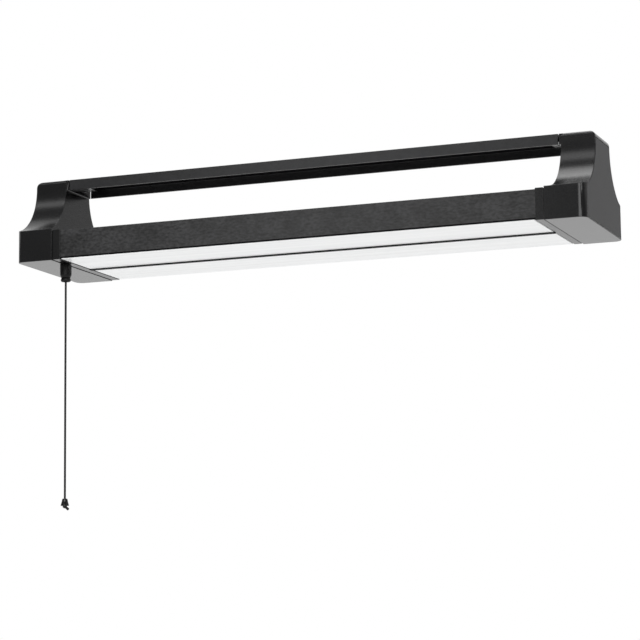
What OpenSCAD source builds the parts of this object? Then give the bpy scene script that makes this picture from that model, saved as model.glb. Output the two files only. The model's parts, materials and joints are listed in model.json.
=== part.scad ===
// Hanging shop light: a black aluminium housing with two opal diffusers, two
// hollow end caps whose towers carry a channel bar, and a cord-pull switch.
// Millimetres. X runs along the lamp, -Y is the front, +Z is up.
// The origin is the middle of the bar's top face, which the lamp hangs from.
// Inside the modules z = 0 is the housing's underside; hang() moves it down.

/* [Overall] */
// Length over the two end faces
overall_l = 610; // [560:1:1220]
// Height of the bar's top face above the housing's underside
hang_h = 92; // [84:0.5:110]
// Clearance between parts that slot together
fit_gap = 0.2; // [0.1:0.05:0.3]

/* [Housing] */
// Depth of the housing, front to rear
housing_d = 140; // [130:1:170]
// Height of the housing
housing_h = 29.5; // [29:0.5:34]
// Sheet thickness of the housing
housing_t = 1.5; // [1.2:0.1:1.8]
// How far the bottom lips reach inwards
lip_w = 3.5; // [3:0.1:4.5]
// Thickness of the bottom lips
lip_t = 1; // [0.8:0.1:1.4]
// Underside of the ledges that carry the LED plate
ledge_z = 12.4; // [12:0.1:13]
// Thickness of those ledges
ledge_t = 1.4; // [1.2:0.1:1.8]
// Width of those ledges
ledge_w = 4.5; // [4:0.1:8]
// Wall round a cap screw's hole in the housing
boss_wall = 1.2; // [1:0.1:1.6]
// How far those bosses reach into the housing's sides
boss_sink = 0.6; // [0.4:0.1:1]

/* [Light engine] */
// Thickness of the LED plate
plate_t = 1.2; // [1:0.1:1.6]
// How far the LED plate stops short of the housing's ends
plate_inset = 8; // [6:0.5:14]
// How far an LED board stops short of the plate's ends
board_inset = 3; // [2:0.5:8]
// Thickness of an LED board
board_t = 1.4; // [1:0.1:1.6]
// Width of an LED board
board_w = 18; // [14:1:24]
// Distance of each LED board's middle from the lamp's middle
board_y = 35; // [30:1:40]
// Number of LEDs on each board
led_count = 24; // [12:1:30]
// Length of one LED package
led_l = 3.5; // [3:0.1:5]
// Width of one LED package
led_w = 2.8; // [2:0.1:4]
// Height of one LED package
led_h = 0.7; // [0.5:0.1:1]
// How far a diffuser stands below the housing
diffuser_drop = 0.8; // [0.6:0.1:1.2]
// Thickness of a diffuser
diffuser_t = 1.5; // [1.2:0.1:2]
// How far a diffuser's edge stops short of the housing's side
diffuser_inset = 0.4; // [0.3:0.1:0.8]
// Shadow gap between a diffuser's end and the collar
diffuser_gap = 1.5; // [0.5:0.1:2]
// Thickness of the hook that snaps over the lip
hook_t = 1.3; // [1:0.1:1.6]
// Height of that hook above the lip
hook_h = 2; // [1.6:0.1:3]
// How far the hook reaches over the lip
hook_reach = 1; // [0.8:0.1:1.4]
// Width of the centre rail's foot
rail_w = 6; // [5:0.5:9]
// How far the rail's foot stands below the diffusers
rail_drop = 1; // [0.6:0.1:1.6]
// Thickness of the rail's web
rail_t = 2; // [1.6:0.1:2.4]
// Width of the rail's head, which holds the LED plate from below
rail_head_w = 10; // [8:0.5:14]
// Width of the rail where the screws go in
rail_port_w = 5; // [4.5:0.1:7]
// How far the screws from above bite into the rail
rail_bite = 4; // [3:0.5:6]

/* [Collars] */
// Length of a collar along the lamp
collar_l = 9; // [8:0.5:12]
// How far a collar stands proud of the housing
collar_proud = 1; // [0.8:0.1:1.4]
// How far the housing goes into a collar
collar_grip = 3; // [2:0.5:4]
// Thickness of the web inside a collar
collar_web = 1.8; // [1.4:0.1:2.4]
// Wall of a collar beyond the housing's end
collar_wall = 2; // [1.8:0.1:2.5]
// Width of the shadow groove between a collar and its cap
seam_w = 1.2; // [0.8:0.1:1.6]
// Depth of that groove
seam_depth = 0.9; // [0.5:0.1:1]
// Wall of the pillars round a cap screw in the collars and caps, over the boss
pillar_wall = 1.4; // [1.2:0.1:1.8]

/* [End caps] */
// Length of an end cap along the lamp
cap_l = 41; // [36:1:60]
// How far a cap stands proud of the housing, front and rear
cap_proud = 2; // [1.8:0.1:3]
// How far a cap stands below the housing
cap_drop = 1.5; // [1.3:0.1:2.5]
// How far a cap's box stands above the housing
cap_rise = 2; // [1.6:0.1:3]
// Wall thickness of a cap
cap_wall = 2; // [1.6:0.1:2.4]
// Radius of a cap's upright outer corners
cap_corner_r = 8; // [5:0.5:12]
// Length of the pillars for the cap screws
pillar_l = 9; // [7:0.5:14]

/* [Towers] */
// Length of a tower along the lamp
tower_l = 35; // [30:1:50]
// Depth of a tower's upper part
tower_d = 54; // [50:1:70]
// How far a tower's top stands above the bar
tower_rise = 0.5; // [0.3:0.1:1.5]
// Radius of the tower's hollow flanks
flank_r = 55; // [46:1:60]
// Radius of the tower's top outer edge
tower_top_r = 7; // [4:0.5:9]
// Radius of the tower's top front and rear edges
tower_corner_r = 4; // [2.5:0.5:6]

/* [End plates] */
// Thickness of an end plate
end_plate_t = 2.5; // [2:0.1:3]
// Rim of the cap round an end plate, with the gap
end_rim = 1.4; // [1.2:0.1:2]
// Gap that shows round an end plate
end_gap = 0.4; // [0.2:0.05:0.5]
// Ledge behind an end plate
end_ledge = 1.5; // [1.2:0.1:2]
// Flat of the cap between the end plate and the cap's roundings
end_flat = 0.4; // [0.2:0.1:1]
// Width of the tabs that hold an end plate
tab_w = 8; // [6:0.5:14]
// Thickness of those tabs
tab_t = 1.2; // [1:0.1:1.6]
// How far a tab reaches behind the ledge
tab_reach = 1.6; // [1.2:0.1:2]
// How far a tab's barb stands out
barb = 0.7; // [0.5:0.1:0.8]

/* [Bar] */
// Depth of the bar
bar_d = 52; // [40:1:52]
// Height of the bar
bar_h = 10.8; // [10:0.2:16]
// Wall thickness of the bar
bar_t = 1.8; // [1.4:0.1:2.4]
// Radius of the bar's inner corners
bar_ease = 1; // [0.5:0.1:1.5]
// Shoulder of the tower that the bar's end meets
shoulder_l = 2; // [1.5:0.1:3]
// Gap that shows between the bar's end and the shoulder
bar_gap = 1.4; // [0.6:0.1:2]
// Length of the tongue inside the bar
tongue_l = 14; // [12:0.5:20]
// Width of the tongue
tongue_w = 28; // [20:1:36]
// Thickness of the tongue
tongue_t = 3.4; // [3.2:0.1:4]
// Distance between the two hanging slots
slot_pitch = 400; // [240:10:440]
// Width of a hanging slot
slot_w = 6; // [5:0.5:8]
// Length of a hanging slot from end to end
slot_l = 20; // [14:1:30]

/* [Screws] */
// Shank radius of a cap screw
cap_screw_r = 1.6; // [1.4:0.05:1.7]
// Length of a cap screw's shank
cap_screw_l = 28; // [22:1:40]
// Height of the lower cap screws
cap_screw_low = 9.2; // [8.8:0.1:9.4]
// Height of the upper cap screws
cap_screw_high = 24.5; // [22:0.5:25]
// Height of a cap screw's head
head_h = 2.2; // [1.8:0.1:3]
// Shank radius of a small screw
small_screw_r = 1.3; // [1:0.05:1.4]
// Height of a small screw's head
small_head_h = 1.4; // [1:0.1:1.7]
// How far a bar screw bites into the tongue
bar_screw_bite = 3; // [2.4:0.1:3]

/* [Driver] */
// Length of the driver case
driver_l = 190; // [150:5:220]
// Width of the driver case
driver_w = 40; // [36:1:50]
// Height of the driver case
driver_h = 11.5; // [11:0.1:12]
// Wall of the driver case
driver_t = 1.2; // [1:0.1:1.6]
// Length of the case's screw ears
ear_l = 9; // [8:0.5:12]
// Height of the posts under the driver's board
post_h = 1.4; // [1:0.1:2]
// Radius of those posts
post_r = 2.5; // [2:0.1:3]
// Thickness of the driver's board
driver_board_t = 1.2; // [1:0.1:1.6]
// Depth of the lid's skirt below its underside
skirt_h = 1.2; // [1:0.1:1.6]

/* [Wiring] */
// Diameter of the leads inside
lead_d = 2.2; // [1.8:0.1:2.4]
// Poles of the terminal block
block_poles = 3; // [3:1:4]
// Distance from pole to pole
pole_pitch = 8; // [7:0.5:10]
// Length of the terminal block along the lamp
block_l = 16; // [14:1:20]
// Height of the terminal block
block_h = 11; // [9:0.5:14]
// Radius of a pole's bore
pole_r = 1.6; // [1.3:0.1:1.8]
// Radius of a terminal screw
terminal_r = 1.9; // [1.6:0.1:2.4]

/* [Pull switch] */
// Distance of the switch's bush from the cap's front
bush_inset = 33; // [30:1:36]
// Outer radius of the ferrule nut
ferrule_r = 6; // [5.5:0.1:7]
// Length of the ferrule nut's straight part
ferrule_l = 10.5; // [8:0.1:12]
// Length of the ferrule nut's taper
ferrule_taper = 3.3; // [2:0.1:4]
// Radius of the bush's neck
neck_r = 3.7; // [3.4:0.1:3.7]
// Radius of the bush's lip
bush_lip_r = 5.2; // [5:0.1:5.8]
// Height of the bush's lip
bush_lip_h = 3.7; // [3.4:0.1:4.5]
// Width of the switch body along the lamp
switch_l = 24; // [23.5:0.5:27]
// Depth of the switch body
switch_d = 22; // [20:1:26]
// Height of the switch body
switch_h = 24; // [23:0.5:25]
// Wall of the switch body
switch_wall = 1.6; // [1.2:0.1:2]
// Travel of the slider when the cord is pulled
pull_travel = 8; // [6:0.5:8]
// Width of the slider
slider_w = 5.6; // [5:0.1:6]
// Length of the pawl on the slider
pawl_l = 1.4; // [1:0.1:1.6]
// Radius of the switch's contact drum
drum_r = 5; // [4:0.1:5]
// Height of the drum's axis above the switch's underside
drum_up = 11; // [10:0.5:12]
// Width of the drum
drum_w = 9; // [6:0.5:12]
// Radius of the drum's pins
drum_pin_r = 1.5; // [1:0.1:2]
// Number of teeth on the drum
drum_teeth = 8; // [8:1:8]
// Thickness of the spring's wire
spring_wire = 0.6; // [0.4:0.05:0.7]
// Radius of the spring, to the middle of its wire
spring_r = 2.5; // [2.3:0.1:2.6]
// Turns of the spring
spring_turns = 5; // [4:1:6]

/* [Pull cord] */
// Diameter of the pull cord
cord_d = 2.2; // [1.8:0.1:2.4]
// Radius of the bead that the cord hangs from
bead_r = 1.9; // [1.7:0.1:2.1]
// Radius of the bell's mouth
bell_r = 4.5; // [4:0.1:6]
// Height of the bell
bell_h = 7.5; // [7:0.5:10]
// Wall of the bell
bell_t = 1; // [0.8:0.1:1.2]

// Radius of the knot under the bell
knot_r = 2.2; // [2:0.1:2.6]
// Length of the cord's short end below the knot
tail_l = 8; // [5:0.5:12]
// Lean of that short end from upright
tail_lean = 28; // [0:1:40]
// Turn of that short end about the cord
tail_turn = -20; // [-180:5:180]

/* [Mains inlet] */
// Height of the inlet's middle above the housing's underside
inlet_z = 15; // [13:0.5:16]
// Distance of the inlet from the lamp's middle, towards the rear
inlet_y = 34; // [30:1:40]
// Radius of the lead that the inlet takes
inlet_r = 3.6; // [3:0.1:4]
// Wall of the inlet bush
inlet_wall = 1.9; // [1.6:0.1:2.4]
// How far the inlet's flange stands out from the end plate
inlet_flange_h = 2.4; // [1.6:0.1:3]
// Length of the inlet's thread behind the end plate
inlet_thread_l = 6; // [5:0.5:8]
// Thickness of the inlet nut
inlet_nut_h = 4; // [3:0.5:5]

/* [Hidden] */
$fn = 48;
// How far a cutting shape runs past the face that it opens
cut = 1;
// The same where the next feature is close behind that face
skim = 0.1;
// Clearance between loose parts, and round a screw's thread
leg_gap = 0.3;
thread_gap = 0.05;

// Places along the lamp, from the middle outwards
end_x = overall_l / 2;
cap_x = end_x - cap_l;
tower_x = end_x - tower_l;
seam_x = cap_x - collar_l;
housing_x = seam_x + collar_grip;
web_x = housing_x + collar_web;
shoulder_x = tower_x - shoulder_l;
tongue_x = shoulder_x - tongue_l;
bar_x = shoulder_x - bar_gap;
end_seat_x = end_x - end_plate_t;
end_ledge_x = end_seat_x - end_ledge;
rail_x = seam_x - fit_gap;
diffuser_x = seam_x - diffuser_gap;
led_plate_x = housing_x - plate_inset;
board_x = led_plate_x - board_inset;
bar_screw_x = tongue_x + tongue_l / 2;

// Heights above the housing's underside
cap_bottom = -cap_drop;
cap_top = housing_h + cap_rise;
bar_bottom = hang_h - bar_h;
tower_top = hang_h + tower_rise;
seat_z = ledge_z + ledge_t;
plate_top = seat_z + plate_t;
led_z = seat_z - board_t - led_h;

// Depths
housing_y = housing_d / 2;
inner_y = housing_y - housing_t;
collar_y = housing_y + collar_proud;
cap_y = housing_y + cap_proud;
tower_y = tower_d / 2;
bar_y = bar_d / 2;
boss_r = cap_screw_r + boss_wall;
pillar_r = boss_r + pillar_wall;
screw_y = inner_y + boss_sink - boss_r;
flank_y = tower_y + flank_r;
flank_z = cap_top + sqrt(pow(flank_r, 2) - pow(flank_y - cap_y, 2));

// Screws: a pan head's and a countersunk head's radius, from the shank's
pan_head = 1.9;
sunk_head = 2;
small_head_r = pan_head * small_screw_r;

// Pull switch, all measured from its bush
bush_x = -cap_x;
bush_y = bush_inset - cap_y;
switch_floor = max(cap_bottom + cap_wall, collar_wall - collar_proud) + fit_gap;
switch_inner_x = -web_x - fit_gap;
switch_outer_x = switch_inner_x - switch_l;
switch_top = switch_floor + switch_h;
switch_rear_y = bush_y + switch_d / 2;
switch_front_y = bush_y - switch_d / 2;
spring_floor = switch_floor + switch_wall;
spring_room = 0.8;
spring_squeezed = spring_turns * spring_wire + spring_room;
slider_gap = 1;
slider_top = switch_top - switch_wall - slider_gap;
slider_bottom = spring_floor + spring_squeezed + pull_travel;
drum_gap = 0.4;
drum_pin_gap = 0.05;
drum_x = bush_x - slider_w / 2 - pawl_l - drum_gap - drum_r;
drum_z = switch_floor + drum_up;
drum_notch_r = 0.9;
drum_y0 = bush_y - drum_w / 2;
drum_y1 = bush_y + drum_w / 2;

// The bush below the switch: its nut, its lip and the room for the bead
ferrule_bottom = cap_bottom - ferrule_l - ferrule_taper;
bush_shoulder = ferrule_bottom - fit_gap;
bush_lip_z = bush_shoulder - bush_lip_h;
bead_gap = 0.3;
bead_room = 0.9;
stem_gap = 0.6;
stem_bite = 2.9;

// The pull cord's route in the lamp's own frame, chosen by hand.
cord_route = [
    [bush_x, bush_y, -110.4], [bush_x, bush_y, -120], [bush_x, bush_y, -140],
    [bush_x, bush_y, -160], [bush_x, bush_y, -180], [bush_x, bush_y, -200],
    [bush_x, bush_y, -220], [bush_x, bush_y, -240], [bush_x, bush_y, -260],
    [bush_x, bush_y, -280], [bush_x, bush_y, -300], [bush_x, bush_y, -320],
    [bush_x, bush_y, -330], [bush_x, bush_y, -340]
];
cord_ring_step = 5;
cord_end = cord_route[len(cord_route) - 1];
bead_z = cord_route[0][2] + hang_h + bead_gap + bead_r;
bead_room_top = bead_z + bead_r + bead_room;
knot_seat = 0.4;
knot_z = cord_end[2] - knot_r + knot_seat;
bell_lift = 2;
bell_top_z = cord_end[2] + bell_lift;
bell_bottom_z = bell_top_z - bell_h;

/* ---------- helpers ---------- */

// Moves a shape from the housing's underside to the lamp's own frame.
module hang() {
    translate([0, 0, -hang_h]) children();
}

// Extrudes an outline drawn in Y and Z along X, from x0 to x1.
module along_x(x0, x1) {
    translate([x0, 0, 0])
        rotate([90, 0, 90])
            linear_extrude(x1 - x0) children();
}

// Extrudes an outline drawn in X and Z along Y, from y0 to y1.
module along_y(y0, y1) {
    translate([0, y1, 0])
        rotate([90, 0, 0])
            linear_extrude(y1 - y0) children();
}

// A box between two corners.
module box(low, high) {
    translate(low) cube(high - low);
}

// A round bar along X.
module rod_x(x0, x1, r) {
    translate([x0, 0, 0])
        rotate([0, 90, 0])
            cylinder(h = x1 - x0, r = r);
}

// Draws a shape once in front and once behind.
module front_and_rear() {
    children();
    mirror([0, 1, 0]) children();
}

// Draws a shape made for the right end at the left end instead.
module at_left() {
    mirror([1, 0, 0]) children();
}

// A rounded slot of length l and width w through a plate at z from z0 to z1.
module slot(l, w, z0, z1) {
    run = (l - w) / 2;
    for (s = [-1, 1])
        translate([s * run, 0, z0])
            cylinder(h = z1 - z0, r = w / 2);
    box([-run, -w / 2, z0], [run, w / 2, z1]);
}

// Places a shape at each screw that holds a cap.
module at_cap_screws() {
    for (s = [-1, 1])
        for (z = [cap_screw_low, cap_screw_high])
            translate([0, s * screw_y, z]) children();
}

/* ---------- sweeping a tube along points ---------- */

function unit(v) = v / norm(v);

// Points along a route, close enough together for a round bend.
function spread(route, step) = [
    for (i = [0 : len(route) - 2])
        let (a = route[i], b = route[i + 1], n = max(1, ceil(norm(b - a) / step)))
            for (k = [0 : n - 1]) a + (b - a) * k / n,
    route[len(route) - 1]
];

// A smoothed copy of a route: each bend is cut off twice.
function eased(route, times) = times == 0 ? route : eased([
    route[0],
    for (i = [1 : len(route) - 2])
        each [
            route[i] * 0.75 + route[i - 1] * 0.25,
            route[i] * 0.75 + route[i + 1] * 0.25
        ],
    route[len(route) - 1]
], times - 1);

function heading(p, i) =
    unit(p[min(i + 1, len(p) - 1)] - p[max(i - 1, 0)]);

// The part of a direction u that is square to t.
function square_to(u, t) = unit(u - (u * t) * t);

// One side direction for each point, carried along so that the tube never twists.
function sides_along(p) = [
    for (i = 0, u = square_to(abs(heading(p, 0)[2]) > 0.9 ? [0, 1, 0] : [0, 0, 1], heading(p, 0));
         i < len(p);
         i = i + 1, u = i < len(p) ? square_to(u, heading(p, i)) : u)
        u
];

// A ring of points round the centre c, square to the heading t.
function ring(c, t, u, r, sides) =
    [for (k = [0 : sides - 1])
        c + r * (cos(360 * k / sides) * u + sin(360 * k / sides) * cross(t, u))];

// A round tube of radius r along the points p.
module tube(p, r, sides = 8) {
    rings = len(p);
    u = sides_along(p);
    points = [for (i = [0 : rings - 1]) each ring(p[i], heading(p, i), u[i], r, sides)];
    walls = [
        for (i = [0 : rings - 2])
            for (k = [0 : sides - 1])
                let (a = i * sides + k, b = i * sides + (k + 1) % sides)
                    [a, a + sides, b + sides, b]
    ];
    first = [for (k = [0 : sides - 1]) k];
    last = [for (k = [sides - 1 : -1 : 0]) (rings - 1) * sides + k];
    polyhedron(points = points, faces = concat([first], walls, [last]));
}

/* ---------- housing and light engine ---------- */

// One front or rear half of the housing's section, in Y and Z.
module housing_half_section() {
    translate([0, housing_h - housing_t]) square([housing_y, housing_t]);
    translate([inner_y, 0]) square([housing_t, housing_h]);
    translate([housing_y - lip_w, 0]) square([lip_w, lip_t]);
    translate([inner_y - ledge_w, ledge_z]) square([ledge_w + housing_t / 2, ledge_t]);
    for (z = [cap_screw_low, cap_screw_high])
        translate([screw_y, z]) circle(boss_r);
}

module housing() {
    hang() color("#2b2b2d")
    difference() {
        along_x(-housing_x, housing_x) {
            housing_half_section();
            mirror([1, 0]) housing_half_section();
        }
        at_cap_screws()
            rod_x(-housing_x - cut, housing_x + cut, cap_screw_r + thread_gap);
        front_and_rear()
            for (x = plate_screw_x)
                translate([x, plate_screw_y, ledge_z - skim])
                    cylinder(h = ledge_t + 2 * skim, r = small_screw_r + thread_gap);
    }
}

// Where the screws go: the plate's into the ledges, the rail's along the middle.
far_share = 0.85;
near_share = 0.5;
plate_screw_x = [-far_share * led_plate_x, 0, far_share * led_plate_x];
plate_screw_y = inner_y - small_head_r - fit_gap;
plate_edge_y = inner_y - fit_gap;
rail_screw_x = [for (share = [-far_share, -near_share, near_share, far_share])
    share * led_plate_x];

// Where the output leads go down through the plate, beside the boards.
feed_reach = 22;
feed_inset = 4;
feed_r = 2.8;
feed_x = driver_l / 2 + feed_reach;
feed_y = board_y - board_w / 2 - feed_inset;

// The plate lies on the housing's ledges, and the boards hang under it.
module led_plate() {
    hang() color("#d8dadc")
    difference() {
        box([-led_plate_x, -plate_edge_y, seat_z], [led_plate_x, plate_edge_y, plate_top]);
        front_and_rear()
            for (x = plate_screw_x)
                translate([x, plate_screw_y, seat_z - cut])
                    cylinder(h = plate_t + 2 * cut, r = small_screw_r + fit_gap);
        for (x = concat(rail_screw_x, driver_screw_x))
            translate([x, 0, seat_z - cut])
                cylinder(h = plate_t + 2 * cut, r = small_screw_r + fit_gap);
        for (s = [-1, 1])
            translate([feed_x, s * feed_y, seat_z - cut])
                cylinder(h = plate_t + 2 * cut, r = feed_r);
    }
}

// A pan-head screw standing on z = 0, with its shank below.
module small_screw(shank_l) {
    cylinder(h = small_head_h, r = small_head_r);
    translate([0, 0, -shank_l]) cylinder(h = shank_l + small_head_h / 2, r = small_screw_r);
}

module led_plate_screws() {
    hang() color("silver")
    front_and_rear()
        for (x = plate_screw_x)
            translate([x, plate_screw_y, plate_top]) small_screw(plate_t + ledge_t);
}

module rail_screws() {
    hang() color("silver")
    for (x = rail_screw_x)
        translate([x, 0, plate_top]) small_screw(plate_t + rail_bite);
}

module led_board(side) {
    hang() color("#f1f1ec")
    box([-board_x, side * board_y - board_w / 2, seat_z - board_t],
        [board_x, side * board_y + board_w / 2, seat_z]);
}

module front_led_board() { led_board(-1); }
module rear_led_board() { led_board(1); }

// A row of LED packages, evenly spaced along a board.
module led_row(side) {
    pitch = 2 * board_x / led_count;
    hang() color("#f6e27a")
    for (i = [0 : led_count - 1])
        translate([-board_x + pitch * (i + 0.5), side * board_y, led_z])
            box([-led_l / 2, -led_w / 2, 0], [led_l / 2, led_w / 2, led_h]);
}

module front_leds() { led_row(-1); }
module rear_leds() { led_row(1); }

// Half widths and heights of a diffuser: a pan that snaps over the lip.
diffuser_bottom = -diffuser_drop;
diffuser_in = rail_t / 2 + fit_gap;
diffuser_out = housing_y - lip_w - fit_gap;
diffuser_edge = housing_y - diffuser_inset;
hook_top = lip_t + hook_h;

module diffuser_section() {
    translate([diffuser_in, diffuser_bottom])
        square([diffuser_out - diffuser_in, diffuser_t]);
    translate([diffuser_out - hook_t, diffuser_bottom])
        square([diffuser_edge - diffuser_out + hook_t, diffuser_drop - fit_gap / 2]);
    translate([diffuser_out - hook_t, diffuser_bottom])
        square([hook_t, hook_top - diffuser_bottom]);
    translate([diffuser_out - hook_t, lip_t + fit_gap])
        square([hook_t + hook_reach, hook_top - lip_t - fit_gap]);
}

module rear_diffuser() {
    hang() color("#f4f5f5") along_x(-diffuser_x, diffuser_x) diffuser_section();
}

module front_diffuser() {
    mirror([0, 1, 0]) rear_diffuser();
}

module centre_rail() {
    foot_bottom = diffuser_bottom - rail_drop;
    port_bottom = seat_z - rail_bite - 1;
    hang() color("#1c1c1d")
    difference() {
        along_x(-rail_x, rail_x) {
            translate([-rail_w / 2, foot_bottom]) square([rail_w, rail_drop]);
            translate([-rail_t / 2, foot_bottom]) square([rail_t, seat_z - foot_bottom]);
            translate([-rail_head_w / 2, ledge_z]) square([rail_head_w, ledge_t]);
            translate([-rail_port_w / 2, port_bottom])
                square([rail_port_w, seat_z - port_bottom]);
        }
        for (x = concat(rail_screw_x, driver_screw_x))
            translate([x, 0, seat_z - rail_bite - fit_gap])
                cylinder(h = rail_bite + cut, r = small_screw_r + thread_gap);
        // The rail's head stops where the plate stops.
        for (s = [-1, 1])
            translate([s * (rail_x + led_plate_x) / 2, 0, seat_z])
                cube([rail_x - led_plate_x, rail_head_w + cut, 2 * rail_bite + 2],
                     center = true);
    }
}

/* ---------- collars ---------- */

collar_low = -collar_proud;
collar_high = housing_h + collar_proud;

// A collar's outside, with the shadow groove beside the cap.
module collar_block(x0) {
    box([x0, -collar_y, collar_low], [cap_x - seam_w, collar_y, collar_high]);
    box([x0, -collar_y + seam_depth, collar_low + seam_depth],
        [cap_x, collar_y - seam_depth, collar_high - seam_depth]);
}

module collar() {
    // The window leaves a frame of web, widest at the sides where the pillars are.
    window_y = screw_y - pillar_r - 3;
    window_low = cap_screw_low - 4;
    window_high = cap_screw_high + 2;
    hang() color("#1f1f20")
    difference() {
        union() {
            difference() {
                collar_block(seam_x);
                // Pocket for the housing's end.
                box([seam_x - cut, -housing_y - fit_gap / 2, -fit_gap / 2],
                    [housing_x, housing_y + fit_gap / 2, housing_h + fit_gap / 2]);
                // Room beyond the web.
                box([web_x, -collar_y + collar_wall, collar_low + collar_wall],
                    [cap_x + cut, collar_y - collar_wall, collar_high - collar_wall]);
                // Way through the web for the leads.
                box([housing_x - cut, -window_y, window_low],
                    [web_x + cut, window_y, window_high]);
            }
            intersection() {
                at_cap_screws() rod_x(housing_x, cap_x, pillar_r);
                collar_block(housing_x);
            }
        }
        at_cap_screws() rod_x(housing_x - cut, cap_x + cut, cap_screw_r + fit_gap);
    }
}

// Room for the bush's neck, shared by the left collar and the left cap.
module neck_notch() {
    translate([bush_x, bush_y, cap_bottom - cut - hang_h])
        cylinder(h = cap_wall + 2 * cut, r = neck_r + fit_gap);
}

module right_collar() { collar(); }

module left_collar() {
    difference() {
        at_left() collar();
        color("#1f1f20") neck_notch();
    }
}

/* ---------- end caps ---------- */

// The cap's outline in Y and Z, drawn in by a distance: a box with a tower.
module cap_profile(inset, top) {
    difference() {
        translate([-cap_y + inset, cap_bottom + inset])
            square([2 * (cap_y - inset), top - cap_bottom - 2 * inset]);
        for (s = [-1, 1]) {
            translate([s * flank_y, flank_z]) circle(flank_r + inset, $fn = 180);
            translate([s * (tower_y - inset + cap_y), flank_z + 2 * hang_h])
                square([2 * cap_y, 4 * hang_h], center = true);
            translate([s * (tower_y - tower_corner_r), top - tower_corner_r])
                on_side(s) corner_cut(tower_corner_r - inset);
        }
    }
}

// What a rounded corner of radius r takes away, in the first quadrant.
module corner_cut(r) {
    difference() {
        square(2 * r);
        circle(r);
    }
}

// The same shape on either side of the middle.
module on_side(s) {
    if (s < 0) mirror([1, 0]) children();
    else children();
}

// The box below the tower, in Y and Z.
module cap_box_profile(inset) {
    translate([-cap_y + inset, cap_bottom + inset])
        square([2 * (cap_y - inset), cap_top - cap_bottom - 2 * inset]);
}

// The cap seen from above, with its outer corners rounded, in X and Y.
module cap_plan(inset, x0, x1) {
    r = cap_corner_r - inset;
    y = cap_y - inset;
    translate([x0, -y]) square([x1 - r - x0, 2 * y]);
    translate([x0, -y + r]) square([x1 - x0, 2 * (y - r)]);
    for (s = [-1, 1])
        translate([x1 - r, s * (y - r)]) circle(r);
}

// The cap seen from the front, with the tower's outer edge rounded, in X and Z.
module cap_side(inset, x0, x1) {
    r = tower_top_r - inset;
    top = tower_top - inset;
    translate([x0, cap_bottom - cut]) square([x1 - x0, top - r - cap_bottom + cut]);
    translate([x0, cap_bottom - cut]) square([x1 - r - x0, top - cap_bottom + cut]);
    translate([x1 - r, top - r]) circle(r);
}

// The cap's outer form, or the hollow inside it when inset is its wall.
module cap_form(inset, box_x0, tower_x0, x1) {
    intersection() {
        union() {
            along_x(tower_x0, x1) cap_profile(inset, tower_top);
            along_x(box_x0, x1) cap_box_profile(inset);
        }
        translate([0, 0, cap_bottom - cut])
            linear_extrude(tower_top - cap_bottom + 2 * cut) cap_plan(inset, box_x0, x1);
        along_y(-cap_y, cap_y) cap_side(inset, box_x0, x1);
    }
}

end_half = cap_y - cap_corner_r - end_flat;

// The end plate's outline in Y and Z, grown by a distance.
module end_outline(grow) {
    half = end_half + grow;
    top = tower_top - tower_top_r - end_flat + grow;
    intersection() {
        cap_profile(end_rim - grow, tower_top);
        translate([-half, cap_bottom]) square([2 * half, top - cap_bottom]);
    }
}

module cap_shell() {
    difference() {
        union() {
            difference() {
                cap_form(0, cap_x, tower_x, end_x);
                cap_form(cap_wall, cap_x - cut, tower_x + cap_wall, end_ledge_x);
            }
            // Pillars that the cap screws pass through.
            intersection() {
                at_cap_screws() rod_x(cap_x, cap_x + pillar_l, pillar_r);
                cap_form(cap_wall / 2, cap_x, tower_x, end_x);
            }
            // Shoulder and tongue for the bar.
            box([shoulder_x, -bar_y, bar_bottom], [tower_x + cap_wall, bar_y, hang_h]);
            box([tongue_x, -tongue_w / 2, hang_h - bar_t - leg_gap - tongue_t],
                [tower_x, tongue_w / 2, hang_h - bar_t - leg_gap]);
        }
        // Seat of the end plate, and the way in behind it.
        along_x(end_seat_x, end_x + cut) end_outline(end_gap);
        along_x(end_ledge_x - cut, end_x) end_outline(-end_ledge);
        at_cap_screws() rod_x(cap_x - cut, cap_x + pillar_l + cut, cap_screw_r + fit_gap);
        translate([bar_screw_x, 0, bar_bottom])
            cylinder(h = bar_h, r = small_screw_r + thread_gap);
    }
}

module right_end_cap() {
    hang() color("#1d1d1e") cap_shell();
}

module left_end_cap() {
    difference() {
        hang() color("#1d1d1e") at_left() cap_shell();
        color("#1d1d1e") neck_notch();
    }
}

// A flat cover that snaps into the cap's end with a barbed tab on each side.
module end_plate() {
    half = end_half - end_ledge - fit_gap;
    tab_end = end_ledge_x - tab_reach;
    along_x(end_seat_x, end_x) end_outline(0);
    front_and_rear() {
        box([tab_end, half - tab_t, inlet_z - tab_w / 2],
            [end_seat_x + cut / 2, half, inlet_z + tab_w / 2]);
        box([tab_end, half - tab_t / 2, inlet_z - tab_w / 2],
            [end_ledge_x - fit_gap, half + barb, inlet_z + tab_w / 2]);
    }
}

module right_end_plate() {
    hang() color("#3a3a3c") end_plate();
}

module left_end_plate() {
    hang() color("#3a3a3c")
    difference() {
        at_left() end_plate();
        translate([0, inlet_y, inlet_z])
            rod_x(-end_x - cut, -end_seat_x + cut, inlet_neck_r + fit_gap);
    }
}

module cap_screws() {
    at_cap_screws() {
        x0 = cap_x + pillar_l;
        rod_x(x0 - cap_screw_l, x0 + head_h / 2, cap_screw_r);
        rod_x(x0, x0 + head_h, cap_screw_r * 2);
    }
}

module right_cap_screws() {
    hang() color("silver") cap_screws();
}

module left_cap_screws() {
    hang() color("silver") at_left() cap_screws();
}

/* ---------- bar ---------- */

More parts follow.
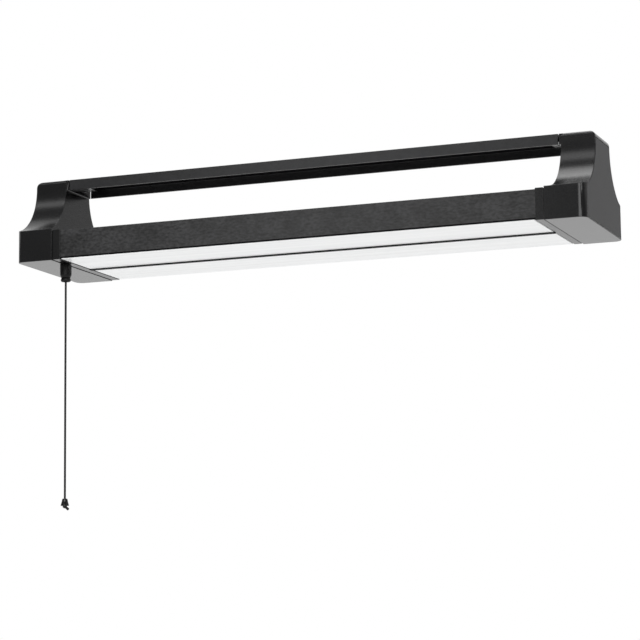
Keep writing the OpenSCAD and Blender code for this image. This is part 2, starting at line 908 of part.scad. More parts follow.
// The channel's section in Y and Z, open underneath, with eased inner corners.
module bar_section() {
    inner = bar_y - bar_t;
    difference() {
        translate([-bar_y, bar_bottom]) square([bar_d, bar_h]);
        difference() {
            translate([-inner, bar_bottom - cut]) square([2 * inner, bar_h - bar_t + cut]);
            for (s = [-1, 1])
                translate([s * inner, hang_h - bar_t])
                    difference() {
                        square(2 * bar_ease, center = true);
                        translate([-s * bar_ease, -bar_ease]) circle(bar_ease);
                    }
        }
    }
}

module top_bar() {
    hang() color("#2e2e30")
    difference() {
        along_x(-bar_x, bar_x) bar_section();
        for (s = [-1, 1]) {
            translate([s * slot_pitch / 2, 0, 0])
                slot(slot_l, slot_w, hang_h - bar_t - cut, hang_h + cut);
            translate([s * bar_screw_x, 0, hang_h - bar_t - cut])
                cylinder(h = bar_t + 2 * cut, r = small_screw_r + fit_gap);
            translate([s * bar_screw_x, 0, hang_h - small_head_h])
                cylinder(h = small_head_h + 0.01, r1 = small_screw_r + fit_gap,
                         r2 = sunk_head * small_screw_r + fit_gap);
        }
    }
}

// Countersunk screws, a hair below the bar's face, down into the tongues.
module bar_screws() {
    shank = bar_t + leg_gap + bar_screw_bite;
    hang() color("silver")
    for (s = [-1, 1])
        translate([s * bar_screw_x, 0, 0]) {
            translate([0, 0, hang_h - shank]) cylinder(h = shank - skim, r = small_screw_r);
            translate([0, 0, hang_h - small_head_h])
                cylinder(h = small_head_h - skim, r1 = small_screw_r,
                         r2 = sunk_head * small_screw_r);
        }
}

/* ---------- driver ---------- */

driver_x = driver_l / 2;
driver_y = driver_w / 2;
ear_x = driver_x + ear_l / 2;
driver_screw_x = [-ear_x, ear_x];
driver_top = plate_top + driver_h;
driver_board_z = plate_top + driver_t + post_h;
part_z = driver_board_z + driver_board_t;
part_room = driver_top - driver_t - skirt_h - part_z - fit_gap;

// How far something inside the case keeps from its outer faces.
inside = driver_t + 1;

// A tray with an ear at each end and posts under its board.
module driver_case() {
    post_inset = 6;
    hang() color("#e6e6e2")
    difference() {
        union() {
            difference() {
                box([-driver_x, -driver_y, plate_top], [driver_x, driver_y, driver_top - driver_t]);
                box([-driver_x + driver_t, -driver_y + driver_t, plate_top + driver_t],
                    [driver_x - driver_t, driver_y - driver_t, driver_top + cut]);
            }
            for (x = driver_screw_x)
                translate([x, 0, plate_top + driver_t / 2])
                    cube([ear_l, driver_w / 2, driver_t], center = true);
            for (sx = [-1, 1])
                for (sy = [-1, 1])
                    translate([sx * (driver_x - post_inset), sy * (driver_y - post_inset), plate_top])
                        cylinder(h = driver_board_z - plate_top, r = post_r);
        }
        for (x = driver_screw_x)
            translate([x, 0, plate_top - cut])
                cylinder(h = driver_t + 2 * cut, r = small_screw_r + fit_gap);
        // Ways out for the leads at both ends.
        for (s = [-1, 1])
            for (y = [-lead_out_y, lead_out_y])
                translate([s * driver_x, y, lead_out_z])
                    rotate([0, 90, 0])
                        cylinder(h = 4 * driver_t, r = lead_d / 2 + fit_gap, center = true);
    }
}

// The lid, with a skirt that drops inside the case.
module driver_lid() {
    skirt = driver_t + fit_gap;
    skirt_z = driver_top - driver_t - skirt_h;
    hang() color("#dededa") {
        box([-driver_x, -driver_y, driver_top - driver_t], [driver_x, driver_y, driver_top]);
        difference() {
            box([-driver_x + skirt, -driver_y + skirt, skirt_z],
                [driver_x - skirt, driver_y - skirt, driver_top - driver_t / 2]);
            box([-driver_x + skirt + driver_t, -driver_y + skirt + driver_t, skirt_z - cut],
                [driver_x - skirt - driver_t, driver_y - skirt - driver_t,
                 driver_top - driver_t]);
        }
    }
}

module driver_board() {
    hang() color("#2f6d46")
    box([-driver_x + inside, -driver_y + inside, driver_board_z],
        [driver_x - inside, driver_y - inside, part_z]);
}

module driver_screws() {
    hang() color("silver")
    for (x = driver_screw_x)
        translate([x, 0, plate_top + driver_t])
            small_screw(driver_t + plate_t + rail_bite - fit_gap);
}

// A bobbin with its core through it.
module driver_transformer() {
    bobbin = [16, 18, part_room];
    core = [20, 6, part_room - 0.6];
    hang() color("#c9a227")
    translate([18, 0, part_z]) {
        translate([-bobbin[0] / 2, -bobbin[1] / 2, 0]) cube(bobbin);
        translate([-core[0] / 2, -core[1] / 2, 0]) cube(core);
    }
}

// Three cans that lie along the board.
module driver_capacitors() {
    can_r = part_room / 2;
    can_l = 18;
    hang() color("#3b4a63")
    for (i = [-1, 0, 1])
        translate([-40, i * (2 * can_r + 3), part_z + can_r])
            rod_x(-can_l / 2, can_l / 2, can_r);
}

// A ring of wound copper.
module driver_choke() {
    ring_r = 5;
    winding_r = 2.2;
    hang() color("#a5562b")
    translate([-66, 0, part_z])
        rotate_extrude() translate([ring_r, winding_r]) circle(winding_r);
}

// A folded fin that the switching transistor leans on.
module driver_heatsink() {
    fin_l = 20;
    fin_t = 1.2;
    fin_y = 8.2;
    transistor = [6, 4.5, part_room - 1.6];
    hang() color("silver")
    translate([55, 0, part_z]) {
        box([-fin_l / 2, fin_y - fin_t, 0], [fin_l / 2, fin_y, part_room]);
        box([-fin_l / 2, 3, 0], [fin_l / 2, fin_y, 1]);
        translate([-transistor[0] / 2, fin_y - fin_t - skim - transistor[1], 1])
            cube(transistor);
    }
}

/* ---------- wiring ---------- */

block_x = -cap_x - 16;
block_y = 8;
block_floor = cap_bottom + cap_wall;
block_lead_z = block_floor + block_h / 2;
pole_y = [for (i = [0 : block_poles - 1]) block_y + (i + 0.5) * pole_pitch];

// A terminal block on the cap's floor, with a bore and a screw well for each pole.
module terminal_block() {
    well_r = terminal_r + fit_gap;
    hang() color("#e9e6dc")
    difference() {
        translate([block_x - block_l, block_y, block_floor])
            cube([block_l, block_poles * pole_pitch, block_h]);
        for (y = pole_y) {
            translate([0, y, block_lead_z]) rod_x(block_x - block_l - cut, block_x + cut, pole_r);
            translate([block_x - block_l / 2, y, block_lead_z])
                cylinder(h = block_h, r = well_r);
        }
    }
}

// The screws bear on the leads and end well below the block's top.
module terminal_screws() {
    screw_h = 3.4;
    hang() color("silver")
    for (y = pole_y)
        translate([block_x - block_l / 2, y, block_lead_z + lead_d / 2 + thread_gap])
            cylinder(h = screw_h, r = terminal_r);
}

inlet_neck_r = inlet_r + inlet_wall;
inlet_flange_r = inlet_neck_r + 2.1;
inlet_nut_r = inlet_neck_r + 2.5;
inlet_nut_x = -end_seat_x + skim;
inlet_thread_x = inlet_nut_x + inlet_thread_l;

// A screwed bush in the left end plate, for a mains lead.
module inlet_bush() {
    hang() color("#161617")
    translate([0, inlet_y, inlet_z])
        difference() {
            union() {
                rod_x(-end_x - inlet_flange_h, -end_x, inlet_flange_r);
                rod_x(-end_x - inlet_flange_h / 2, inlet_thread_x, inlet_neck_r);
            }
            rod_x(-end_x - inlet_flange_h - cut, inlet_thread_x + cut, inlet_r);
        }
}

module inlet_nut() {
    hang() color("#161617")
    translate([inlet_nut_x, inlet_y, inlet_z])
        difference() {
            rotate([0, 90, 0]) cylinder(h = inlet_nut_h, r = inlet_nut_r, $fn = 6);
            rod_x(-cut, inlet_nut_h + cut, inlet_neck_r + thread_gap);
        }
}

// Where the leads leave the driver, and how far their ends reach into it and the block.
lead_out_y = 8;
lead_out_z = plate_top + 5;
lead_tip_x = driver_x - 2;
lead_in_x = block_x - 9;
// The height at which the leads pass over the housing's end.
lead_over_z = (cap_screw_low + cap_screw_high) / 2 + 2.5;
// How far before the driver a lead comes down to its way in.
lead_run = 40;
lead_ring_step = 8;

// A lead along its route, eased at its bends.
module lead(route) {
    hang() tube(spread(eased(route, 2), lead_ring_step), lead_d / 2);
}

// From the block's first pole round behind the switch and into it.
module live_lead() {
    clear = 8;
    color("#7a4a2a")
    lead([
        [lead_in_x, pole_y[0], block_lead_z],
        [block_x + clear, pole_y[0], block_lead_z],
        [block_x + clear, switch_rear_y + 2.5 * clear, drum_z + 3],
        [drum_x - 3, switch_rear_y + 1.5 * clear, drum_z + 3],
        [drum_x - 3, switch_rear_y + leg_gap, drum_z + 3]
    ]);
}

// From the switch to the driver.
module switched_lead() {
    bend = 8;
    y = lead_out_y + 6;
    color("#7a4a2a")
    lead([
        [drum_x + 3, switch_rear_y + leg_gap, drum_z + 3],
        [drum_x + 3, switch_rear_y + bend, drum_z + 4],
        [-housing_x + bend / 2, -y, lead_over_z + 0.6],
        [-housing_x + lead_run, -y, lead_over_z + 0.6],
        [-driver_x - lead_run, -lead_out_y, lead_out_z],
        [-lead_tip_x, -lead_out_y, lead_out_z]
    ]);
}

// From the block's second pole to the driver.
module neutral_lead() {
    bend = 8;
    color("#2f4f8f")
    lead([
        [lead_in_x, pole_y[1], block_lead_z],
        [block_x + bend, pole_y[1], block_lead_z],
        [-web_x - 3, pole_y[1] - bend / 2, lead_over_z - 2.4],
        [-housing_x + 0.75 * lead_run, lead_out_y + 6, lead_over_z - 0.4],
        [-driver_x - lead_run, lead_out_y, lead_out_z],
        [-lead_tip_x, lead_out_y, lead_out_z]
    ]);
}

earth_x = -led_plate_x + 14;
earth_y = board_y + 1;
tag_t = 0.8;
tag_r = 3.6;

// From the block's third pole to the tag on the LED plate.
module earth_lead() {
    color("#5d8a3c")
    lead([
        [lead_in_x, pole_y[2], block_lead_z],
        [block_x + 7, pole_y[2], block_lead_z],
        [-web_x - 2, pole_y[2] + 3, lead_over_z - 3.9],
        [-led_plate_x - 2, earth_y, lead_over_z - 0.4],
        [earth_x - tag_r - 5.4, earth_y, plate_top + lead_d / 2 + leg_gap],
        [earth_x - tag_r - 0.8, earth_y, plate_top + lead_d / 2 + leg_gap]
    ]);
}

// A ring tag with its crimp, and the screw's head on it.
module earth_tag() {
    crimp = [2.2, 2.4, 2.3];
    hang() color("#c9a227")
    translate([earth_x, earth_y, plate_top]) {
        cylinder(h = tag_t, r = tag_r);
        translate([-tag_r - 0.6, -crimp[1] / 2, skim]) cube(crimp);
        cylinder(h = tag_t + small_head_h + 0.4, r = small_head_r);
    }
}

// A two-core lead from the driver down through the plate to one board.
module output_lead(side) {
    pad_z = seat_z - board_t - lead_d / 2 - thread_gap;
    bend = 8;
    color("#a32020")
    lead([
        [lead_tip_x, side * lead_out_y, lead_out_z],
        [driver_x + 1.5 * bend, side * lead_out_y, lead_out_z],
        [feed_x, side * (feed_y - bend), lead_out_z],
        [feed_x, side * (feed_y - bend / 8), lead_out_z - bend / 8],
        [feed_x, side * (feed_y - bend / 20), pad_z + 0.5],
        [feed_x, side * (feed_y + bend / 8), pad_z - 0.3],
        [feed_x, side * (feed_y + feed_inset + 1), pad_z],
        [feed_x, side * (feed_y + feed_inset + bend / 2), pad_z]
    ]);
}

module front_output_lead() { output_lead(-1); }
module rear_output_lead() { output_lead(1); }

/* ---------- pull switch ---------- */

// Puts a rod made along X onto the drum's axis, along Y.
module on_drum_axis() {
    translate([drum_x, 0, drum_z]) rotate([0, 0, 90]) children();
}

// The switch's box, open on top, with the drum's two bearings in its walls.
module switch_body() {
    inner_wall = switch_wall / 2;
    hang() color("#2a2a2c")
    difference() {
        box([switch_outer_x, switch_front_y, switch_floor],
            [switch_inner_x, switch_rear_y, switch_top - switch_wall]);
        box([switch_outer_x + switch_wall, switch_front_y + switch_wall, spring_floor],
            [switch_inner_x - inner_wall, switch_rear_y - switch_wall, switch_top + cut]);
        translate([bush_x, bush_y, switch_floor - cut])
            cylinder(h = switch_wall + 2 * cut, r = neck_r + fit_gap);
        on_drum_axis()
            rod_x(switch_front_y - cut, switch_rear_y + cut, drum_pin_r + drum_pin_gap);
    }
}

// The lid, with a lip that drops inside the outer wall.
module switch_cover() {
    lip = switch_wall + fit_gap;
    lip_h = 0.7;
    lip_l = 2.8;
    hang() color("#39393b") {
        box([switch_outer_x, switch_front_y, switch_top - switch_wall],
            [switch_inner_x, switch_rear_y, switch_top]);
        box([switch_outer_x + lip, switch_front_y + lip, switch_top - switch_wall - lip_h],
            [switch_outer_x + lip + lip_l, switch_rear_y - lip, switch_top - switch_wall / 2]);
    }
}

// Two blades that stand on the body's outer wall and reach for the drum.
module switch_contacts() {
    blade_x = switch_outer_x + switch_wall;
    blade_t = 0.6;
    blade_w = 2.4;
    arm_t = 0.8;
    hang() color("#b5893c")
    for (s = [-1, 1])
        translate([blade_x, bush_y + s * drum_w / 4 - blade_w / 2, drum_z]) {
            translate([0, 0, -drum_r / 2]) cube([blade_t, blade_w, 1.6 * drum_r]);
            translate([0, 0, -arm_t / 2])
                cube([drum_x - drum_r - leg_gap - blade_x, blade_w, arm_t]);
        }
}

// The toothed drum on its two pins.
module switch_drum() {
    hang() color("#c8c3b4")
    on_drum_axis()
        difference() {
            union() {
                rod_x(drum_y0, drum_y1, drum_r);
                rod_x(switch_front_y + skim, switch_rear_y - skim, drum_pin_r);
            }
            for (i = [0 : drum_teeth - 1])
                rotate([(i + 0.5) * 360 / drum_teeth, 0, 0])
                    translate([0, drum_r, 0])
                        rod_x(drum_y0 - cut, drum_y1 + cut, drum_notch_r);
        }
}

// The block that the cord pulls down, with the pawl that turns the drum.
module switch_slider() {
    half = slider_w / 2;
    pawl_w = 4;
    pawl_t = 2;
    pawl_top = slider_top - 0.4;
    hang() color("#b8b3a4")
    difference() {
        union() {
            box([bush_x - half, bush_y - half, slider_bottom],
                [bush_x + half, bush_y + half, slider_top]);
            box([bush_x - half - pawl_l, bush_y - pawl_w / 2, pawl_top - pawl_t],
                [bush_x, bush_y + pawl_w / 2, pawl_top]);
        }
        translate([bush_x, bush_y, slider_bottom - cut])
            cylinder(h = cut + stem_bite + skim, r = cord_d / 2 + thread_gap);
    }
}

// A round-wire spring between the body's floor and the slider.
module switch_spring() {
    per_turn = 12;
    low = spring_floor + spring_wire / 2 + 0.02;
    high = slider_bottom - spring_wire / 2 - 0.02;
    hang() color("silver")
    tube([
        for (i = [0 : spring_turns * per_turn])
            [bush_x + spring_r * cos(360 * i / per_turn),
             bush_y + spring_r * sin(360 * i / per_turn),
             low + (high - low) * i / (spring_turns * per_turn)]
    ], spring_wire / 2, 6);
}

// The plain round nut that shows under the cap.
module ferrule_nut() {
    hang() color("#161617")
    translate([bush_x, bush_y, ferrule_bottom])
        difference() {
            union() {
                translate([0, 0, ferrule_taper]) cylinder(h = ferrule_l, r = ferrule_r);
                cylinder(h = ferrule_taper, r1 = ferrule_r - 1.2, r2 = ferrule_r);
            }
            translate([0, 0, -cut])
                cylinder(h = ferrule_l + ferrule_taper + 2 * cut, r = neck_r + fit_gap / 2);
        }
}

// The bush: a neck up into the switch, and a lip that the cord runs over.
module cord_bush() {
    bore_r = cord_d / 2 + stem_gap;
    room_r = bead_r + 1.3;
    waist_r = bush_lip_r - 0.5;
    edge = 0.6;
    hang() color("#161617")
    translate([bush_x, bush_y, 0])
        rotate_extrude()
            polygon([
                [bore_r, spring_floor],
                [neck_r, spring_floor],
                [neck_r, bush_shoulder],
                [waist_r, bush_shoulder],
                [waist_r, bush_shoulder - edge],
                [bush_lip_r, bush_shoulder - 2 * edge],
                [bush_lip_r, bush_lip_z + edge],
                [bush_lip_r - edge, bush_lip_z],
                [bush_lip_r - 1.5 * edge, bush_lip_z],
                [room_r, bush_lip_z + 2 * edge],
                [room_r, bead_room_top],
                [bore_r, bead_room_top + edge]
            ]);
}

/* ---------- pull cord ---------- */

// The cord inside the bush, from the slider down to the bead.
module cord_stem() {
    stem_low = bead_z + bead_r + bead_gap;
    hang() color("#202022")
    translate([bush_x, bush_y, stem_low])
        cylinder(h = slider_bottom + stem_bite - stem_low, r = cord_d / 2);
}

// The crimped bead in the bush's mouth, about which the cord swings.
module cord_bead() {
    hang() color("#8d8d8f")
    translate([bush_x, bush_y, bead_z]) sphere(bead_r);
}

module pull_cord() {
    color("#202022") tube(spread(cord_route, cord_ring_step), cord_d / 2);
}

// The knot under the bell's crown, with the cord's short end.
module cord_knot() {
    color("#202022")
    translate([cord_end[0], cord_end[1], knot_z])
        union() {
            difference() {
                sphere(knot_r);
                // A flat on top, where the cord goes in.
                translate([0, 0, knot_r - knot_seat]) cylinder(h = knot_r, r = knot_r);
            }
            rotate([0, 180 - tail_lean, tail_turn]) cylinder(h = tail_l, r = cord_d / 2);
        }
}

// A small bell that is threaded on the cord above the knot.
module pull_bell() {
    crown_r = 2.8;
    hole_r = cord_d / 2 + skim;
    roof = 1.4;
    edge = 0.6;
    waist_r = crown_r + 0.5;
    color("#161617")
    translate([cord_end[0], cord_end[1], 0])
        rotate_extrude()
            polygon([
                [hole_r, bell_top_z],
                [crown_r - edge, bell_top_z],
                [crown_r, bell_top_z - edge],
                [waist_r, bell_top_z - bell_h * 0.45],
                [bell_r - 0.5, bell_bottom_z + bell_h * 0.25],
                [bell_r, bell_bottom_z],
                [bell_r - bell_t, bell_bottom_z],
                [waist_r - bell_t / 4, bell_top_z - bell_h * 0.55],
                [crown_r - bell_t / 4, bell_top_z - roof],
                [hole_r, bell_top_z - roof]
            ]);
}

/* ---------- the lamp ---------- */

housing();
led_plate();
led_plate_screws();
front_led_board();
rear_led_board();
front_leds();
rear_leds();
front_diffuser();
rear_diffuser();
centre_rail();
rail_screws();
left_collar();
right_collar();
left_end_cap();
right_end_cap();
left_end_plate();
right_end_plate();
left_cap_screws();
right_cap_screws();
top_bar();
bar_screws();
driver_case();
driver_lid();
driver_board();
driver_transformer();
driver_capacitors();
driver_choke();
driver_heatsink();
driver_screws();
terminal_block();
terminal_screws();
inlet_bush();
inlet_nut();
live_lead();
switched_lead();
neutral_lead();
earth_lead();
earth_tag();
front_output_lead();
rear_output_lead();
switch_body();
switch_cover();
switch_contacts();
switch_drum();
switch_slider();
switch_spring();
ferrule_nut();
cord_bush();
cord_stem();
cord_bead();
pull_cord();
cord_knot();
pull_bell();
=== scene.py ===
# %% [markdown]
# # A hanging shop light, dressed for its picture
#
# The lamp is a flat black housing with two opal diffusers underneath. Two moulded
# end caps close it, and their towers carry a channel bar by which it hangs. A cord
# with a small bell works the switch in the left cap.
#
# The construction comes packed from the CAD model and stays where it is. This lesson
# rounds the edges that show, gives every piece its finish, hangs the cord and
# lights the whole. Lengths are metres in the CAD model's own frame: X runs along the
# lamp, the front faces -Y, and Z = 0 is the bar's top face.

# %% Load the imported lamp
import json
import math

import bmesh
import bpy
from mathutils import Matrix, Vector
from mathutils.bvhtree import BVHTree


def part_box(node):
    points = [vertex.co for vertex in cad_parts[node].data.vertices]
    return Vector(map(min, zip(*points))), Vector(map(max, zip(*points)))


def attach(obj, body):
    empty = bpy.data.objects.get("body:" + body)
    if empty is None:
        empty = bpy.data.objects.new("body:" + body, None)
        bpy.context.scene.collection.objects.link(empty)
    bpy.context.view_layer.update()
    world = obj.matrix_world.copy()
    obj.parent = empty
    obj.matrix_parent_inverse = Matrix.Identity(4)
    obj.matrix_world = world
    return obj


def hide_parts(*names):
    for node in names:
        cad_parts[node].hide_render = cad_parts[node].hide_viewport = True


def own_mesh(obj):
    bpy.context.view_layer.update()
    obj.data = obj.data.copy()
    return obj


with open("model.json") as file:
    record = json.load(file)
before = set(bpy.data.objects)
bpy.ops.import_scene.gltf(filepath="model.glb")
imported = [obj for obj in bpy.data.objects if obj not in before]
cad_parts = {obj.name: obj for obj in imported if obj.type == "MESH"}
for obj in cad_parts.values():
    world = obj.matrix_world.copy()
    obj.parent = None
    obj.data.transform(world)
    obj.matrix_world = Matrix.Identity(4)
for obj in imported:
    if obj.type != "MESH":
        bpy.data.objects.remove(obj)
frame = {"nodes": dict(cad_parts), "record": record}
nodes = frame["nodes"]
bodies = frame["record"]["behaviour"]["bodies"]
body_of = {node: body for body, members in bodies.items() for node in members}
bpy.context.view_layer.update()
mm = 0.001

# %% [markdown]
# ## The camera
#
# The picture was taken with a long lens from below and from the right, so the near
# end looks only a little larger than the far one. A long lens far away gives that.
# The lens, the place and the three turns were worked out from the straight edges of
# the lamp in the picture, since parallel edges meet at the same far point.

# %% Camera
lens_mm = 136.41
camera_place = Vector((0.8805, -2.2776, -0.5335))
camera_heading = math.radians(21.022)
camera_tilt = math.radians(8.613)
camera_roll = math.radians(-0.665)

camera = bpy.data.objects.new("camera", bpy.data.cameras.new("camera"))
bpy.context.scene.collection.objects.link(camera)
camera.data.lens = lens_mm
camera.data.sensor_width = 36
camera.matrix_world = (
    Matrix.Translation(camera_place)
    @ Matrix.Rotation(camera_heading, 4, "Z")
    @ Matrix.Rotation(math.pi / 2 + camera_tilt, 4, "X")
    @ Matrix.Rotation(camera_roll, 4, "Z")
)
bpy.context.scene.camera = camera
bpy.context.scene.view_settings.view_transform = "Standard"
print("camera", round(camera_place.length, 3), "m from the bar's middle")

# %% [markdown]
# ## Small tools for finishes
#
# A finish is a Principled surface with a few nodes that vary its colour, roughness
# and height. Colours are written as on a paint card, in sRGB, and turned to linear
# light once. One function adds a node, sets its inputs and links it. An input that has
# no name of its own is given by its number, as i0 or i1.
#
# Every pattern is noise on the object's own coordinates, with its scale worked out from
# a real size in millimetres. Such a pattern needs no unwrapping and keeps its scale on a
# piece of any shape.

# %% Finish tools
def linear(card):
    """A colour written as #rrggbb, turned to linear light, with full alpha."""
    parts = [int(card[i:i + 2], 16) / 255 for i in (1, 3, 5)]
    return [p / 12.92 if p <= 0.04045 else ((p + 0.055) / 1.055) ** 2.4 for p in parts] + [1.0]


def add(tree, kind, settings=None, **inputs):
    """Adds a node. An input is a value, or a node's output to link."""
    node = tree.nodes.new(kind)
    for name, value in (settings or {}).items():
        setattr(node, name, value)
    for name, value in inputs.items():
        by_number = name[0] == "i" and name[1:].isdigit()
        socket = node.inputs[int(name[1:]) if by_number else name]
        if isinstance(value, bpy.types.NodeSocket):
            tree.links.new(value, socket)
        else:
            socket.default_value = value
    return node


def new_finish(name, colour, roughness, **more):
    """A Principled material, its tree and its surface node."""
    finish = bpy.data.materials.new(name)
    finish.use_nodes = True
    tree = finish.node_tree
    surface = tree.nodes["Principled BSDF"]
    surface.inputs["Base Color"].default_value = linear(colour)
    surface.inputs["Roughness"].default_value = roughness
    for socket, value in more.items():
        surface.inputs[socket.replace("_", " ")].default_value = value
    return finish, tree, surface


def grain(tree, size_mm, detail, stretch=(1, 1, 1)):
    """Noise on the object's own coordinates whose grains are about size_mm across."""
    place = add(tree, "ShaderNodeTexCoord")
    scaled = add(tree, "ShaderNodeMapping", Vector=place.outputs["Object"], Scale=stretch)
    return add(tree, "ShaderNodeTexNoise", Vector=scaled.outputs["Vector"], Scale=1000 / size_mm,
               Detail=detail).outputs["Fac"]


def vary(tree, factor, low, high):
    """Spreads a noise of about 0.3 to 0.7 over a range."""
    return add(tree, "ShaderNodeMapRange", Value=factor, **{
        "From Min": 0.3, "From Max": 0.7, "To Min": low, "To Max": high}).outputs["Result"]


def emboss(tree, surface, height, depth_mm):
    """Raises the surface's relief by depth_mm where height is 1."""
    bump = add(tree, "ShaderNodeBump", Height=height, Distance=depth_mm * mm, Strength=1.0)
    tree.links.new(bump.outputs["Normal"], surface.inputs["Normal"])


def tint(tree, surface, factor, dark, light):
    """Blends two card colours by a factor into the surface's colour."""
    mixed = add(tree, "ShaderNodeMix", {"data_type": "RGBA"}, i0=factor, i6=linear(dark),
                i7=linear(light))
    tree.links.new(mixed.outputs[2], surface.inputs["Base Color"])


finishes = {}
print("white on the card is", [round(v, 3) for v in linear("#ffffff")])

# %% [markdown]
# ## The black metals
#
# The housing and the bar are extruded aluminium, brushed along their length, anodised
# and dyed black. The brushing shows as short dashes that catch the light. A metallic
# surface would be too bright, because the dye sits in the clear oxide skin and hides
# the metal. So the finish is a dielectric with a dark colour, and the brushing is in
# its colour, gloss and height. The lighter dashes in the colour are partly a random tone
# and partly painted glints, where the brushing would catch the light.
#
# The lines of a real brush are about 0.1 mm apart, too fine to show in the picture. The
# dashes are drawn coarser: 2.2 mm on the housing and 0.9 mm on the bar, which has the
# smoother brush.

# %% Brushed and dyed aluminium
def brushed_black(name, dark, light, roughness, grain_mm, depth_mm):
    """Dyed anodising: a dark, glassy skin whose dashes run along X; their lighter colour is partly
    painted glints.
    """
    finish, tree, surface = new_finish(name, dark, roughness)
    dashes = grain(tree, grain_mm, 3.0, (0.5, 1, 1))
    strokes = grain(tree, grain_mm * 0.5, 2.0, (0.06, 1, 1))
    blotches = grain(tree, grain_mm * 9, 1.0)
    mixed = add(tree, "ShaderNodeMath", {"operation": "MULTIPLY"}, i0=dashes,
                i1=vary(tree, blotches, 0.8, 1.2))
    relief = add(tree, "ShaderNodeMath", {"operation": "MULTIPLY_ADD"}, i0=strokes, i1=0.35,
                 i2=mixed.outputs["Value"])
    # The dashes' lighter colour is partly random tone and partly painted glints of the brushing.
    tint(tree, surface, vary(tree, mixed.outputs["Value"], 0, 1), dark, light)
    gloss = vary(tree, dashes, roughness - 0.05, roughness + 0.07)
    tree.links.new(gloss, surface.inputs["Roughness"])
    emboss(tree, surface, relief.outputs["Value"], depth_mm)
    return finish


# Brushed, dyed aluminium gives a charcoal skin with a lively mottle, partly random tone and partly
# painted glints.
finishes["brushed_aluminium"] = brushed_black(
    "brushed_dyed_aluminium", "#0d0d0d", "#2d2d2e", 0.42, 2.2, 0.3)
# The finer brush gives the bar an even, silky grey-black.
finishes["bar_black"] = brushed_black(
    "fine_brushed_dyed_aluminium", "#131314", "#1f1f21", 0.38, 0.9, 0.03)
print("brushed finishes:", ", ".join(finishes))

# %% [markdown]
# ## The black plastics
#
# Caps, collars, end plates, rail, bell and switch are plastics, and the eye tells their
# blacks apart by gloss. A mould is textured by spark erosion, which leaves a fine even
# grain, so one function makes them all from a colour, a gloss and a grain. The IOR of
# these plastics is 1.48 to 1.54, so Blender's own 1.5 stays. A dull one mirrors less,
# as its skin is rough at a scale that no pixel shows, and gets a lower specular level.
#
# A spark grain is 0.1 to 0.2 mm across. It is drawn at 0.35 mm so that it shows at all.

# %% Moulded black plastics
cloud_mm = 22


def moulded(name, colour, lighter, roughness, spark_mm=0.35, depth_mm=0.012, **more):
    """A plastic from a spark-eroded mould: a fine even grain and a soft sheen."""
    finish, tree, surface = new_finish(name, colour, roughness, **more)
    spark = grain(tree, spark_mm, 2.0)
    cloud = grain(tree, cloud_mm, 2.0)
    tint(tree, surface, vary(tree, cloud, 0, 1), colour, lighter)
    gloss = vary(tree, spark, roughness - 0.04, roughness + 0.04)
    tree.links.new(gloss, surface.inputs["Roughness"])
    emboss(tree, surface, spark, depth_mm)
    return finish


# Satin ABS: deep black in front, and pale where it mirrors the floor at a low angle.
finishes["cap_black"] = moulded("moulded_abs_satin", "#080809", "#0c0c0d", 0.25)
# The collars are the same ABS, a little softer in its shine.
finishes["collar_black"] = moulded("moulded_abs_collar", "#070708", "#0b0b0c", 0.28)
# The end plates come from a duller mould and look dark grey.
finishes["end_plate_black"] = moulded(
    "moulded_abs_plate", "#161617", "#1b1b1d", 0.38, Specular_IOR_Level=0.35)
# Extruded PVC gives the rail a flat, sooty line.
finishes["rail_black"] = moulded(
    "extruded_pvc_black", "#050506", "#09090a", 0.6, Specular_IOR_Level=0.1)
# Tumbled acetal gives the bell a wet shine with hardly any grain.
finishes["bell_black"] = moulded("glossy_acetal_black", "#070707", "#0a0a0b", 0.14, 0.6, 0.004)
# Glass-filled nylon gives the nuts, the bushes and the switch's body a dry black.
finishes["switch_black"] = moulded(
    "glass_filled_nylon_black", "#0a0a0b", "#101011", 0.4, Specular_IOR_Level=0.2)
print("with the moulded ones,", len(finishes), "finishes")

# %% [markdown]
# ## Opal acrylic
#
# The diffusers are milk-white all through, with a smooth skin that mirrors a little.
# Light that scatters inside could be traced through a volume or by subsurface
# scattering, which is slow and hardly shows on a wide flat pan. A pale, slightly glossy
# surface looks the same here. Faint streaks run along it from the die, 5 mm wide and
# some 80 times as long.

# %% Opal acrylic
def opal_acrylic():
    """Milk-white acrylic, with its typical IOR and faint streaks along X."""
    finish, tree, surface = new_finish("opal_acrylic", "#f3f4f4", 0.3, IOR=1.49)
    streaks = grain(tree, 5, 2.0, (0.012, 1, 1))
    tint(tree, surface, vary(tree, streaks, 0, 1), "#eeefef", "#f8f9f9")
    emboss(tree, surface, grain(tree, 6, 1.0), 0.01)
    return finish


finishes["opal"] = opal_acrylic()
print("opal is finish number", len(finishes))

# %% [markdown]
# ## Bare metals inside
#
# The plate, screws, windings and contacts hardly show, but a reused part may be opened,
# so they get real finishes too. A bare metal is fully metallic, keeps the default IOR,
# and its colour is the tint of its mirror. Its grain, from rolling, plating or drawing,
# is 0.6 to 1.2 mm and varies the gloss.

# %% Metals
def bare_metal(name, dark, light, roughness, grain_mm, stretch=(1, 1, 1)):
    """A rolled, plated or machined metal: the grain varies its gloss."""
    finish, tree, surface = new_finish(name, light, roughness, Metallic=1.0)
    lines = grain(tree, grain_mm, 3.0, stretch)
    tint(tree, surface, vary(tree, lines, 0, 1), dark, light)
    gloss = vary(tree, lines, roughness - 0.08, roughness + 0.08)
    tree.links.new(gloss, surface.inputs["Roughness"])
    emboss(tree, surface, lines, 0.01)
    return finish


# Rolled aluminium: pale, with long soft lines.
finishes["bare_aluminium"] = bare_metal(
    "mill_aluminium", "#b9bcc0", "#d6d8da", 0.38, 1.2, (0.1, 1, 1))
# Zinc plating: a cool grey for the screws and the spring, a little blotchy.
finishes["steel"] = bare_metal("zinc_plated_steel", "#8f9396", "#b4b8ba", 0.3, 0.6)
# Enamelled copper wire: a warm, reddish shine.
finishes["copper"] = bare_metal("wound_copper", "#8a4a2a", "#b86a40", 0.35, 0.7)
